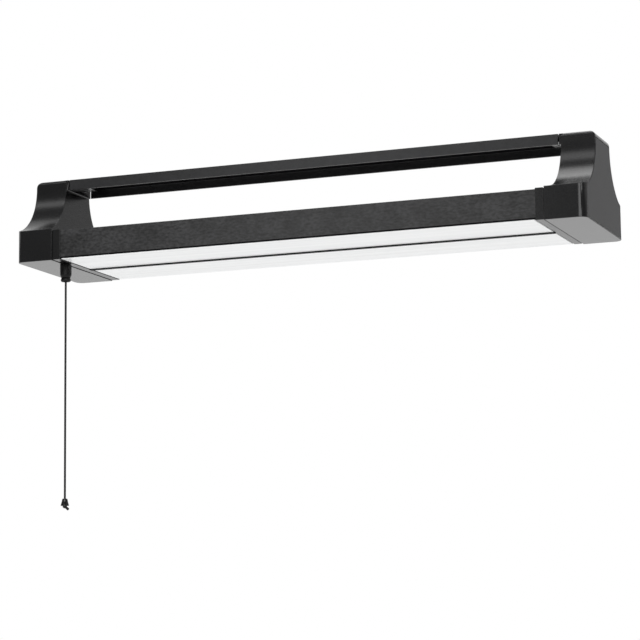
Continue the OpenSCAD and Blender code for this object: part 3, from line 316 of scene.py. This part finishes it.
# Brass strip: a clear yellow shine on the contacts and the earth tag.
finishes["brass"] = bare_metal("brass_strip", "#a9863c", "#cfab5c", 0.3, 0.8)
print("with the metals,", len(finishes), "finishes")

# %% [markdown]
# ## Small plastics, boards and wires
#
# What is left inside is dull and coloured: solder mask, tape, sleeves, nylon and PVC.
# One grain that shifts both colour and height is enough for pieces of a few
# millimetres. Each grain is 0.5 to 3 mm, as coarse as it has to be to show.

# %% Small plastics, boards and wires
def plain_grain(name, dark, light, roughness, grain_mm):
    """A dull surface whose colour and height follow one grain."""
    finish, tree, surface = new_finish(name, light, roughness)
    spots = grain(tree, grain_mm, 2.0)
    tint(tree, surface, vary(tree, spots, 0, 1), dark, light)
    emboss(tree, surface, spots, 0.01)
    return finish


# Solder mask is a thin lacquer: even and slightly glossy, in white or green.
finishes["board_white"] = plain_grain("white_solder_mask", "#e9ebea", "#f4f5f3", 0.35, 2.0)
finishes["board_green"] = plain_grain("green_solder_mask", "#1f5a38", "#2f7a4c", 0.35, 1.5)
# Phosphor gel gives each LED its egg-yolk window.
finishes["led_package"] = plain_grain("phosphor_gel", "#e9c950", "#f5de7c", 0.4, 0.5)
# Polycarbonate and nylon look chalky, the nylon a little warmer.
finishes["driver_white"] = plain_grain(
    "flame_proof_polycarbonate", "#dcdcd8", "#e8e8e4", 0.45, 0.6)
finishes["terminal_white"] = plain_grain("terminal_nylon", "#dedbd0", "#ece9df", 0.5, 0.7)
# Polyester tape and shrink sleeve lie tight, with a soft shine.
finishes["winding_tape"] = plain_grain("polyester_tape", "#b98f1f", "#d8b13a", 0.3, 2.5)
finishes["capacitor_sleeve"] = plain_grain("shrink_sleeve", "#26344c", "#33445f", 0.35, 3.0)
# PVC insulation is waxy, in the usual colours of mains and low-voltage leads.
finishes["lead_brown"] = plain_grain("pvc_brown", "#54301c", "#6b4028", 0.4, 1.0)
finishes["lead_blue"] = plain_grain("pvc_blue", "#1f3f7c", "#2b5298", 0.4, 1.0)
finishes["lead_green"] = plain_grain("pvc_green", "#3f7a2e", "#55963f", 0.4, 1.0)
finishes["lead_red"] = plain_grain("pvc_red", "#861d1d", "#a62b2b", 0.4, 1.0)
# Acetal is creamy and slippery, as in most small slides and drums.
finishes["switch_cream"] = plain_grain("acetal_cream", "#cfcab9", "#ddd8c8", 0.4, 0.8)
print("with the small ones,", len(finishes), "finishes")

# %% [markdown]
# ## The pull cord's braid
#
# The cord is thin braided polyester, dull black with a fine diamond relief. Its strands
# wind round it both ways, so their height is the larger of two sets of slanting waves.
# The angle round the cord comes from its own middle line, which is straight, so plain
# object coordinates will do. Eight strands and a turn every 3.2 mm are what such a cord
# has, and they are coarse enough to show close up.

# %% Braided cord finish
cord_line = (-0.264, -0.039)
strands_round = 8
braid_pitch = 3.2 * mm


def braid(name, dark, light):
    """Crossing strands round the cord's line, with painted shade between them."""
    finish, tree, surface = new_finish(name, dark, 0.62)
    place = add(tree, "ShaderNodeTexCoord")
    centred = add(tree, "ShaderNodeMapping", Vector=place.outputs["Object"],
                  Location=(-cord_line[0], -cord_line[1], 0))
    xyz = add(tree, "ShaderNodeSeparateXYZ", Vector=centred.outputs["Vector"])
    turn = add(tree, "ShaderNodeMath", {"operation": "ARCTAN2"}, i0=xyz.outputs["Y"],
               i1=xyz.outputs["X"])
    round_it = add(tree, "ShaderNodeMath", {"operation": "MULTIPLY"}, i0=turn.outputs["Value"],
                   i1=strands_round / 2)
    down_it = add(tree, "ShaderNodeMath", {"operation": "MULTIPLY"}, i0=xyz.outputs["Z"],
                  i1=2 * math.pi / braid_pitch)
    waves = []
    for way in ("ADD", "SUBTRACT"):
        phase = add(tree, "ShaderNodeMath", {"operation": way}, i0=round_it.outputs["Value"],
                    i1=down_it.outputs["Value"])
        waves.append(add(tree, "ShaderNodeMath", {"operation": "SINE"}, i0=phase.outputs["Value"]))
    top = add(tree, "ShaderNodeMath", {"operation": "MAXIMUM"}, i0=waves[0].outputs["Value"],
              i1=waves[1].outputs["Value"])
    height = add(tree, "ShaderNodeMapRange", Value=top.outputs["Value"], **{"From Min": -0.6})
    # The strands' height also sets the colour: painted shade, darker in the grooves between the
    # strands.
    tint(tree, surface, height.outputs["Result"], dark, light)
    emboss(tree, surface, height.outputs["Result"], 0.12)
    return finish


finishes["cord_black"] = braid("braided_polyester", "#070708", "#161617")
print("braid of", strands_round, "strands, a turn every", braid_pitch / mm, "mm")

# %% [markdown]
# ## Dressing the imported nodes
#
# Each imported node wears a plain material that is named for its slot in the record. A
# node whose shape is right keeps it and takes the finish that is made for its slot.

# %% Dress the nodes
slot_of = {name: obj.material_slots[0].material.name for name, obj in nodes.items()}
for name, obj in nodes.items():
    obj.material_slots[0].link = "OBJECT"
    obj.material_slots[0].material = finishes[slot_of[name]]
print(len(slot_of), "nodes dressed in", len(set(slot_of.values())), "finishes")

# %% [markdown]
# ## Pieces with eased edges
#
# No moulded or drawn edge is truly sharp: a tiny round catches a line of light, and
# that line is much of what the eye reads as a real thing. A copy of a node is welded
# into one skin, its flat faces are made whole, and the outward edges that show are
# bevelled. An edge shows if a ray that leaves it outwards doesn't meet its own piece.
# A Bevel modifier would be quicker to add, but it can't leave the hidden edges alone.

# %% Tools for eased edges
weld = 0.01 * mm
flat_angle = math.radians(0.4)
sharp_angle = math.radians(28)
ray_start = 0.05 * mm
speck = 0.0005 * mm


def welded(node):
    """A CAD node's triangles as one closed skin, with its flat faces whole."""
    shape = bmesh.new()
    shape.from_mesh(nodes[node].data)
    bmesh.ops.remove_doubles(shape, verts=shape.verts, dist=weld)
    bmesh.ops.dissolve_limit(shape, angle_limit=flat_angle, verts=shape.verts, edges=shape.edges)
    return shape


def showing_edges(shape, chosen):
    """The sharp, convex edges whose outward ray leaves the piece. A choice looks at an
    edge's middle and at the way it faces."""
    tree = BVHTree.FromBMesh(shape)
    found = []
    for edge in shape.edges:
        if not edge.is_manifold or not edge.is_convex or edge.calc_face_angle(0) < sharp_angle:
            continue
        middle = (edge.verts[0].co + edge.verts[1].co) / 2
        outwards = (edge.link_faces[0].normal + edge.link_faces[1].normal).normalized()
        if chosen and not chosen(middle, outwards):
            continue
        if tree.ray_cast(middle + outwards * ray_start, outwards)[0] is None:
            found.append(edge)
    return found


def ease(shape, width, segments=3, chosen=None):
    """Rounds the edges that show, and removes the empty faces where a bevel ends."""
    edges = showing_edges(shape, chosen)
    bmesh.ops.bevel(shape, geom=edges, offset=width, offset_type="OFFSET", segments=segments,
                    profile=0.5, affect="EDGES", clamp_overlap=False, material=-1)
    bmesh.ops.dissolve_degenerate(shape, edges=shape.edges, dist=speck)
    return len(edges)


print("edges over", round(math.degrees(sharp_angle)), "degrees will be eased where they show")

# %% [markdown]
# ## Putting a piece in place
#
# A finished piece moves with its node's body, wears its node's finish and takes its
# node's place. It is shaded smooth, but an edge that bends by more than 32 degrees stays
# sharp. Weighted normals keep the large flat faces flat beside their narrow rounds.
# More bevel segments would do that too, but would cost many more faces.

# %% Tools for placing pieces
smooth_angle = math.radians(32)


def add_piece(shape, name, node, on_top=False):
    """Makes a piece, smooth but for its sharp edges, in the node's finish and on its body.
    It takes the node's place, unless it comes on top of it."""
    mesh = bpy.data.meshes.new(name)
    shape.to_mesh(mesh)
    shape.free()
    mesh.shade_smooth()
    mesh.set_sharp_from_angle(angle=smooth_angle)
    obj = bpy.data.objects.new(name, mesh)
    bpy.context.scene.collection.objects.link(obj)
    mesh.materials.append(finishes[slot_of[node]])
    weighted = obj.modifiers.new("even_shading", "WEIGHTED_NORMAL")
    weighted.keep_sharp = True
    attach(obj, body_of[node])
    if not on_top:
        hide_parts(node)
    return obj


def eased_piece(node, width, chosen=None):
    """A node's eased copy, in the node's place."""
    shape = welded(node)
    count = ease(shape, width, chosen=chosen)
    obj = add_piece(shape, node + "_eased", node)
    print(node, count, "edges eased by", width / mm, "mm,", len(obj.data.polygons), "faces")


print("edges over", round(math.degrees(smooth_angle)), "degrees will stay sharp")

# %% [markdown]
# ## The extrusions
#
# Housing, rail and bar leave the die with edges of a few tenths of a millimetre. The
# bar's sawn ends and the lower edges of its flanges are left sharp: the gap to the
# towers stays thin, and the flanges show a light line from below.

# %% Extrusions
die_round = 0.4 * mm
for node in ("housing", "centre_rail"):
    eased_piece(node, die_round)


def on_bar_top(place, way):
    """The long upper edges: they face up, and not along the bar."""
    return abs(way.x) < 0.2 and way.z > 0


eased_piece("top_bar", die_round, on_bar_top)

# %% [markdown]
# ## The bar's screws
#
# The two screws in the bar's top are countersunk and take a hex key. Cutting the socket
# with a boolean would leave long thin faces, so it is built in: a big circle and a small
# hexagon are bridged into the head's face, the hexagon is pushed down for the socket,
# and the circle is drawn in and down for the cone and the shank.

# %% Bar screws
screw_low, screw_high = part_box("bar_screws")
head_radius, head_high = screw_high.y, 1.4 * mm
shank_radius, socket_radius, socket_deep = 1.29 * mm, 1.25 * mm, 0.9 * mm
head_sides = 36


def edges_of(points):
    """The edges at some vertices, each once and always in the same order."""
    return list(dict.fromkeys(e for v in points for e in v.link_edges))


def drawn(shape, edges, move, scale=1.0):
    """Extrudes a loop of edges, moves it and scales it about its middle; returns its edges."""
    made = bmesh.ops.extrude_edge_only(shape, edges=edges)["geom"]
    points = [v for v in made if isinstance(v, bmesh.types.BMVert)]
    middle = sum((v.co for v in points), Vector()) / len(points)
    bmesh.ops.scale(shape, vec=(scale, scale, 1), space=Matrix.Translation(-middle), verts=points)
    bmesh.ops.translate(shape, vec=move, verts=points)
    return [e for e in made if isinstance(e, bmesh.types.BMEdge)]


def add_screw(shape, top):
    """One countersunk screw with a hex socket, from the middle of its head's face."""
    loops = []
    for sides, radius in ((head_sides, head_radius), (6, socket_radius)):
        ring = bmesh.ops.create_circle(shape, segments=sides, radius=radius,
                                       matrix=Matrix.Translation(top))
        loops.append(edges_of(ring["verts"]))
    bmesh.ops.bridge_loops(shape, edges=loops[0] + loops[1])
    socket = drawn(shape, loops[1], (0, 0, -socket_deep))
    bmesh.ops.contextual_create(shape, geom=socket)
    cone = drawn(shape, loops[0], (0, 0, -head_high), shank_radius / head_radius)
    shank = drawn(shape, cone, (0, 0, screw_low.z - screw_high.z + head_high))
    bmesh.ops.contextual_create(shape, geom=shank)


shape = bmesh.new()
for side in (-1, 1):
    add_screw(shape, Vector((side * (screw_high.x - head_radius), 0, screw_high.z)))
bmesh.ops.recalc_face_normals(shape, faces=shape.faces)
add_piece(shape, "bar_screws_hex", "bar_screws")
print("bar screws with sockets", round(socket_deep / mm, 1), "mm deep")

# %% [markdown]
# ## The switch's spring
#
# Inside the switch a coil spring lifts the slider, and the slider squeezes it when the
# cord is pulled. A rigid coil would cut through the slider there, and a shape key would
# need a driver. Here the coil is a welded copy of its node, with a mesh of its own, and
# it stays as it was modelled.

# %% Spring
spring = add_piece(welded("switch_spring"), "switch_spring_wound", "switch_spring")
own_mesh(spring)

# %% [markdown]
# ## The painted shade strips
#
# A thin dull black strip runs along the lower edge of each long side, where the diffuser's
# lip clips in. It is painted shade: it draws the dark line of shade under the housing's
# lower edge. A painted line would be enough from the front, but a strip catches
# the light. It is a box that is scaled to its size, with its inner half tucked into
# the wall.

# %% Painted shade strips
strip_high, strip_thick, strip_round = 1.5 * mm, 0.24 * mm, 0.05 * mm
housing_low, housing_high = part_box("housing")
strip_long = 2 * abs(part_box("left_collar")[1].x)
# Each strip is painted shade: a dull black line along the housing's lower edge, where shade falls.
for name, wall_y in (("front", housing_low.y), ("rear", housing_high.y)):
    strip = bmesh.new()
    bmesh.ops.create_cube(strip, size=1, matrix=(
        Matrix.Translation((0, wall_y, housing_low.z + strip_high / 2))
        @ Matrix.Diagonal((strip_long, strip_thick, strip_high, 1))))
    bmesh.ops.bevel(strip, geom=strip.edges[:], offset=strip_round, offset_type="OFFSET",
                    segments=2, profile=0.5, affect="EDGES", material=-1)
    add_piece(strip, name + "_painted_shade_strip", "centre_rail", on_top=True)
print("lip strips", round(strip_long / mm, 1), "mm long")

# %% [markdown]
# ## Diffusers, collars and end plates
#
# These are thin moulded pieces, so their edges are rounded by only 0.25 to 0.3 mm. The
# grooves beside the collars are in the CAD model, and the small rounds on both sides of
# them draw the fine seams that the picture shows.

# %% Diffusers, collars and end plates
pan_round, edge_round = 0.3 * mm, 0.25 * mm
for side in ("front", "rear"):
    eased_piece(side + "_diffuser", pan_round)
for side in ("left", "right"):
    eased_piece(side + "_collar", edge_round)
    eased_piece(side + "_end_plate", edge_round)

# %% [markdown]
# ## The end caps
#
# One width for all edges won't do here. A cap's lower edges are rounder than its others,
# as the mould parts there, and the outer edge of the hollow flank is the softest. So a
# cap is bevelled three times, each time with its own choice of edges. The narrow rim
# round the end plate and the tongue under the bar stay crisp, because a bevel would eat
# them up.

# %% End caps
low_round, flank_round = 0.5 * mm, 0.6 * mm
rim_x = 299 * mm
tower_foot_z = -57 * mm
tongue_x, tongue_z = 268.5 * mm, -12 * mm
cap_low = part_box("left_end_cap")[0].z


def on_low_edge(place, way):
    return place.z < cap_low + weld


def on_flank(place, way):
    """The tower's outer edge, front and rear, but not the edges of the plate's pocket."""
    return (abs(place.x) > rim_x and place.z > tower_foot_z
            and abs(way.x) < 0.9 and way.y * place.y > 0 and abs(way.y) > 0.2)


def on_other_edge(place, way):
    on_tongue = abs(place.x) < tongue_x and place.z > tongue_z
    return place.z > cap_low + low_round and abs(place.x) < rim_x and not on_tongue


for side in ("left", "right"):
    node = side + "_end_cap"
    shape = welded(node)
    low = ease(shape, low_round, 4, on_low_edge)
    flank = ease(shape, flank_round, 4, on_flank)
    rest = ease(shape, edge_round, 3, on_other_edge)
    cap = add_piece(shape, node + "_eased", node)
    print(node, low, "low edges,", flank, "flank edges,", rest, "others,",
          len(cap.data.polygons), "faces")

# %% [markdown]
# ## Nuts and bushes
#
# The ferrule nut and the bush's lip show under the left cap, and the mains inlet shows
# in the left end plate. They are small turned or moulded rings, and a round of 0.3 mm
# gives each rim its thin light line.

# %% Nuts and bushes
ring_round = 0.3 * mm
for node in ("ferrule_nut", "cord_bush", "inlet_bush", "inlet_nut"):
    eased_piece(node, ring_round)

# %% [markdown]
# ## The pull cord
#
# The cord hangs from the bush, and its bell holds it straight. A curve with a round
# profile would do, but a mesh is needed for the joint and the export, so it is a long
# cylinder that is cut into short rings. Its route repeats the CAD model's points.

# %% Cord
cord_x, cord_y = cord_line
cord_route = [Vector((cord_x, cord_y, z * mm)) for z in (
    -110.4, -120, -140, -160, -180, -200, -220, -240, -260, -280, -300, -320, -330, -340)]
cord_thick = 2.2 * mm
cord_sides = 16
ring_step = 2.5 * mm


def cord_mesh():
    """A long cylinder, cut into short rings."""
    length = cord_route[0].z - cord_route[-1].z
    middle = (cord_route[0] + cord_route[-1]) / 2
    shape = bmesh.new()
    bmesh.ops.create_cone(shape, cap_ends=True, segments=cord_sides, radius1=cord_thick / 2,
                          radius2=cord_thick / 2, depth=length, matrix=Matrix.Translation(middle))
    long_edges = [e for e in shape.edges if e.calc_length() > length / 2]
    bmesh.ops.subdivide_edges(shape, edges=long_edges, cuts=round(length / ring_step) - 1,
                              use_grid_fill=True)
    return shape


cord = add_piece(cord_mesh(), "pull_cord_braided", "pull_cord")

# %% [markdown]
# ## The bell
#
# The bell is a glossy turned bead with a domed crown, so its top edge is rounded widely
# and its rim a little. The crown's round stays under the width of its flat top, where
# a wider one would fold over itself.

# %% Bell
shape = welded("pull_bell")
bell_low, bell_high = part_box("pull_bell")
crown_round, rim_round, band = 0.36 * mm, 0.2 * mm, 1.0 * mm
crown = ease(shape, crown_round, 4, lambda place, way: place.z > bell_high.z - band)
rim = ease(shape, rim_round, 3, lambda place, way: place.z < bell_low.z + band)
bell = add_piece(shape, "pull_bell_eased", "pull_bell")
print("bell", crown, "crown edges,", rim, "rim edges")

# %% [markdown]
# ## The knot
#
# Under the bell the cord is tied in a simple knot. Following the cord through a real
# knot would need a long curve that nobody sees at this size. Two turns, each a spun
# ring, lean against each other round a short core, and the cut end sticks out sideways
# and flares, as its strands come apart.

# %% Knot
knot_middle = Vector((cord_x, cord_y, -346.2 * mm))
turn_radius = 1.15 * mm
turn_apart = Vector((0, 0, 0.45 * mm))
upper_lean, lower_lean = math.radians(14), math.radians(-17)
knot_sides, knot_steps = 14, 28
tail_way = Vector((0.81, -0.2, -0.55)).normalized()
tail_long = 5.4 * mm


def along(direction, start, length):
    """A matrix that lays a cylinder's own Z along a direction, from its start."""
    turned = direction.to_track_quat("Z", "Y").to_matrix().to_4x4()
    return Matrix.Translation(start + direction * length / 2) @ turned


def add_turn(shape, middle, lean, axis):
    """One closed turn of cord: a circle spun round, leaning from the level."""
    pose = Matrix.Translation(middle) @ Matrix.Rotation(lean, 4, axis)
    upright = Matrix.Translation((turn_radius, 0, 0)) @ Matrix.Rotation(math.pi / 2, 4, "X")
    ring = bmesh.ops.create_circle(shape, cap_ends=False, segments=knot_sides,
                                   radius=cord_thick / 2, matrix=pose @ upright)["verts"]
    edges = edges_of(ring)
    bmesh.ops.spin(shape, geom=ring + edges, cent=middle, axis=pose.to_3x3() @ Vector((0, 0, 1)),
                   angle=math.tau, steps=knot_steps, use_merge=True, use_duplicate=False)


def add_rod(shape, start, direction, length, start_radius, end_radius):
    """A short straight length of cord from its start."""
    bmesh.ops.create_cone(shape, cap_ends=True, segments=knot_sides, radius1=start_radius,
                          radius2=end_radius, depth=length,
                          matrix=along(direction, start, length))


shape = bmesh.new()
add_turn(shape, knot_middle + turn_apart, upper_lean, "Y")
add_turn(shape, knot_middle - turn_apart, lower_lean, "X")
core_top = Vector((cord_x, cord_y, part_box("cord_knot")[1].z))
add_rod(shape, core_top, Vector((0, 0, -1)), core_top.z - knot_middle.z,
        cord_thick / 2, cord_thick / 2)
add_rod(shape, knot_middle, tail_way, tail_long, cord_thick * 0.5, cord_thick * 0.66)
bmesh.ops.recalc_face_normals(shape, faces=shape.faces)
knot = add_piece(shape, "cord_knot_tied", "cord_knot")
print("knot", len(knot.data.polygons), "faces")

# %% [markdown]
# ## The cord's pieces
#
# The cord, its bell and its knot are in place.

# %% The cord's pieces
print("the cord hangs with", bell.name, "and", knot.name)

# %% [markdown]
# ## The floor
#
# The lamp hangs high over a plain pale floor. Paint alone would look grey in the shade
# of the tent and in the lamp's glossy underside. So the floor also glows a little, but
# only for the camera, for mirrors and through glass: it lights nothing, and it keeps
# the lamp's shadow.

# %% Floor
floor_z, floor_half, floor_glow = -3.4, 60, 0.27
white = (1, 1, 1, 1)
floor_shape = bmesh.new()
bmesh.ops.create_grid(floor_shape, x_segments=1, y_segments=1, size=floor_half,
                      matrix=Matrix.Translation((0, 0, floor_z)))
floor_mesh = bpy.data.meshes.new("floor")
floor_shape.to_mesh(floor_mesh)
floor_shape.free()
floor = bpy.data.objects.new("floor", floor_mesh)
bpy.context.scene.collection.objects.link(floor)


def seen_rays(tree):
    """1 for rays from the camera, from mirrors and through glass, else 0."""
    rays = add(tree, "ShaderNodeLightPath").outputs
    either = add(tree, "ShaderNodeMath", {"operation": "MAXIMUM"}, i0=rays["Is Camera Ray"],
                 i1=rays["Is Glossy Ray"])
    return add(tree, "ShaderNodeMath", {"operation": "MAXIMUM"}, i0=either.outputs["Value"],
               i1=rays["Is Transmission Ray"]).outputs["Value"]


paint, tree, surface = new_finish("floor_paint", "#e6e6e6", 0.9)
glow = add(tree, "ShaderNodeMath", {"operation": "MULTIPLY"}, i0=seen_rays(tree), i1=floor_glow)
surface.inputs["Emission Color"].default_value = white
tree.links.new(glow.outputs["Value"], surface.inputs["Emission Strength"])
floor_mesh.materials.append(paint)

# %% [markdown]
# ## The backdrop
#
# The picture's backdrop is plain white. A wall would need its own light, and its light
# would spill on the lamp. The world is simply white at strength 1, which shows as white
# and lights the lamp evenly, at a level at which a colour looks as it is written.

# %% Backdrop
room = bpy.data.worlds.new("room")
bpy.context.scene.world = room
room.use_nodes = True
room.node_tree.nodes["Background"].inputs["Color"].default_value = white
room.node_tree.nodes["Background"].inputs["Strength"].default_value = 1.0
print("white backdrop all round")

# %% [markdown]
# ## The grey tent
#
# Glossy black shows what stands round it, and in an all-white room it would look grey.
# A studio hangs dark cloth where the reflections come from. Here that is a dome of grey
# cloth, dim in front and paler to the right for the end plate. It is open behind the
# lamp, where the white backdrop gives the towers their bands. Only mirrors see it: it
# is hidden from the camera, and it casts neither light nor shadow.

# %% Grey tent
tent_radius = 22
# Angles are from straight behind the lamp (+Y), to the right as seen from the front.
backdrop_left, backdrop_right = math.radians(-75), math.radians(12)
backdrop_top = math.radians(75)
pale_right = math.radians(75)


def before_backdrop(middle):
    """True where the tent is open, so that the white backdrop shows."""
    turn = math.atan2(middle.x, middle.y)
    rise = math.atan2(middle.z - floor_z, math.hypot(middle.x, middle.y))
    return backdrop_left < turn < backdrop_right and rise < backdrop_top


tent_shape = bmesh.new()
bmesh.ops.create_uvsphere(tent_shape, u_segments=64, v_segments=32, radius=tent_radius,
                          matrix=Matrix.Translation((0, 0, floor_z)))
opened = [f for f in tent_shape.faces if f.calc_center_median().z < floor_z
          or before_backdrop(f.calc_center_median())]
bmesh.ops.delete(tent_shape, geom=opened, context="FACES")
for face in tent_shape.faces:
    middle = face.calc_center_median()
    turn = math.atan2(middle.x, middle.y)
    face.material_index = int(backdrop_right < turn < pale_right)
tent_mesh = bpy.data.meshes.new("tent")
tent_shape.to_mesh(tent_mesh)
tent_shape.free()
tent = bpy.data.objects.new("tent", tent_mesh)
bpy.context.scene.collection.objects.link(tent)
for name, glow in (("dim_tent_cloth", 0.22), ("pale_tent_cloth", 0.41)):
    cloth, tree, surface = new_finish(name, "#000000", 1.0, Specular_IOR_Level=0.0)
    surface.inputs["Emission Color"].default_value = white
    surface.inputs["Emission Strength"].default_value = glow
    tent_mesh.materials.append(cloth)
tent.visible_camera = tent.visible_diffuse = False
tent.visible_transmission = tent.visible_shadow = False
print("tent", len(opened), "faces open")

# %% [markdown]
# ## The lamps
#
# One large soft box overhead gives the even light. The towers' hollow flanks and the
# rounded corners show soft bands, and each band is a smaller box that mirrors there:
# two high in front for the towers, one low on the right for the right corner, and one
# close on the left for the left flank.

# %% Lamps
def soft_lamp(name, place, target, size, power):
    """A soft box at a place that faces its target. Sizes are in metres, power in watts."""
    lamp = bpy.data.objects.new(name, bpy.data.lights.new(name, "AREA"))
    bpy.context.scene.collection.objects.link(lamp)
    lamp.data.shape = "RECTANGLE"
    lamp.data.size, lamp.data.size_y = size
    lamp.data.energy = power
    lamp.location = place
    lamp.visible_camera = False
    lamp.rotation_mode = "QUATERNION"
    lamp.rotation_quaternion = (Vector(target) - Vector(place)).to_track_quat("-Z", "Y")


soft_lamp("overhead", (0, 0.35, 2.2), (0, 0.35, 0), (1.8, 1.45), 27)
soft_lamp("high_middle", (-0.31, -1.42, 1.72), (0.287, 0, 0), (0.8, 0.65), 3.6)
soft_lamp("high_left", (-1.38, -1.25, 1.62), (-0.287, 0, 0), (0.8, 0.4), 2.4)
soft_lamp("front_right", (1.4, -3.2, 0.9), (0.2, 0, 0), (2.5, 1.4), 38)
soft_lamp("near_left", (-0.28, -0.95, 0.10), (0.05, 0, -0.08), (0.3, 0.3), 0.8)
print(len(bpy.data.lights), "lamps")
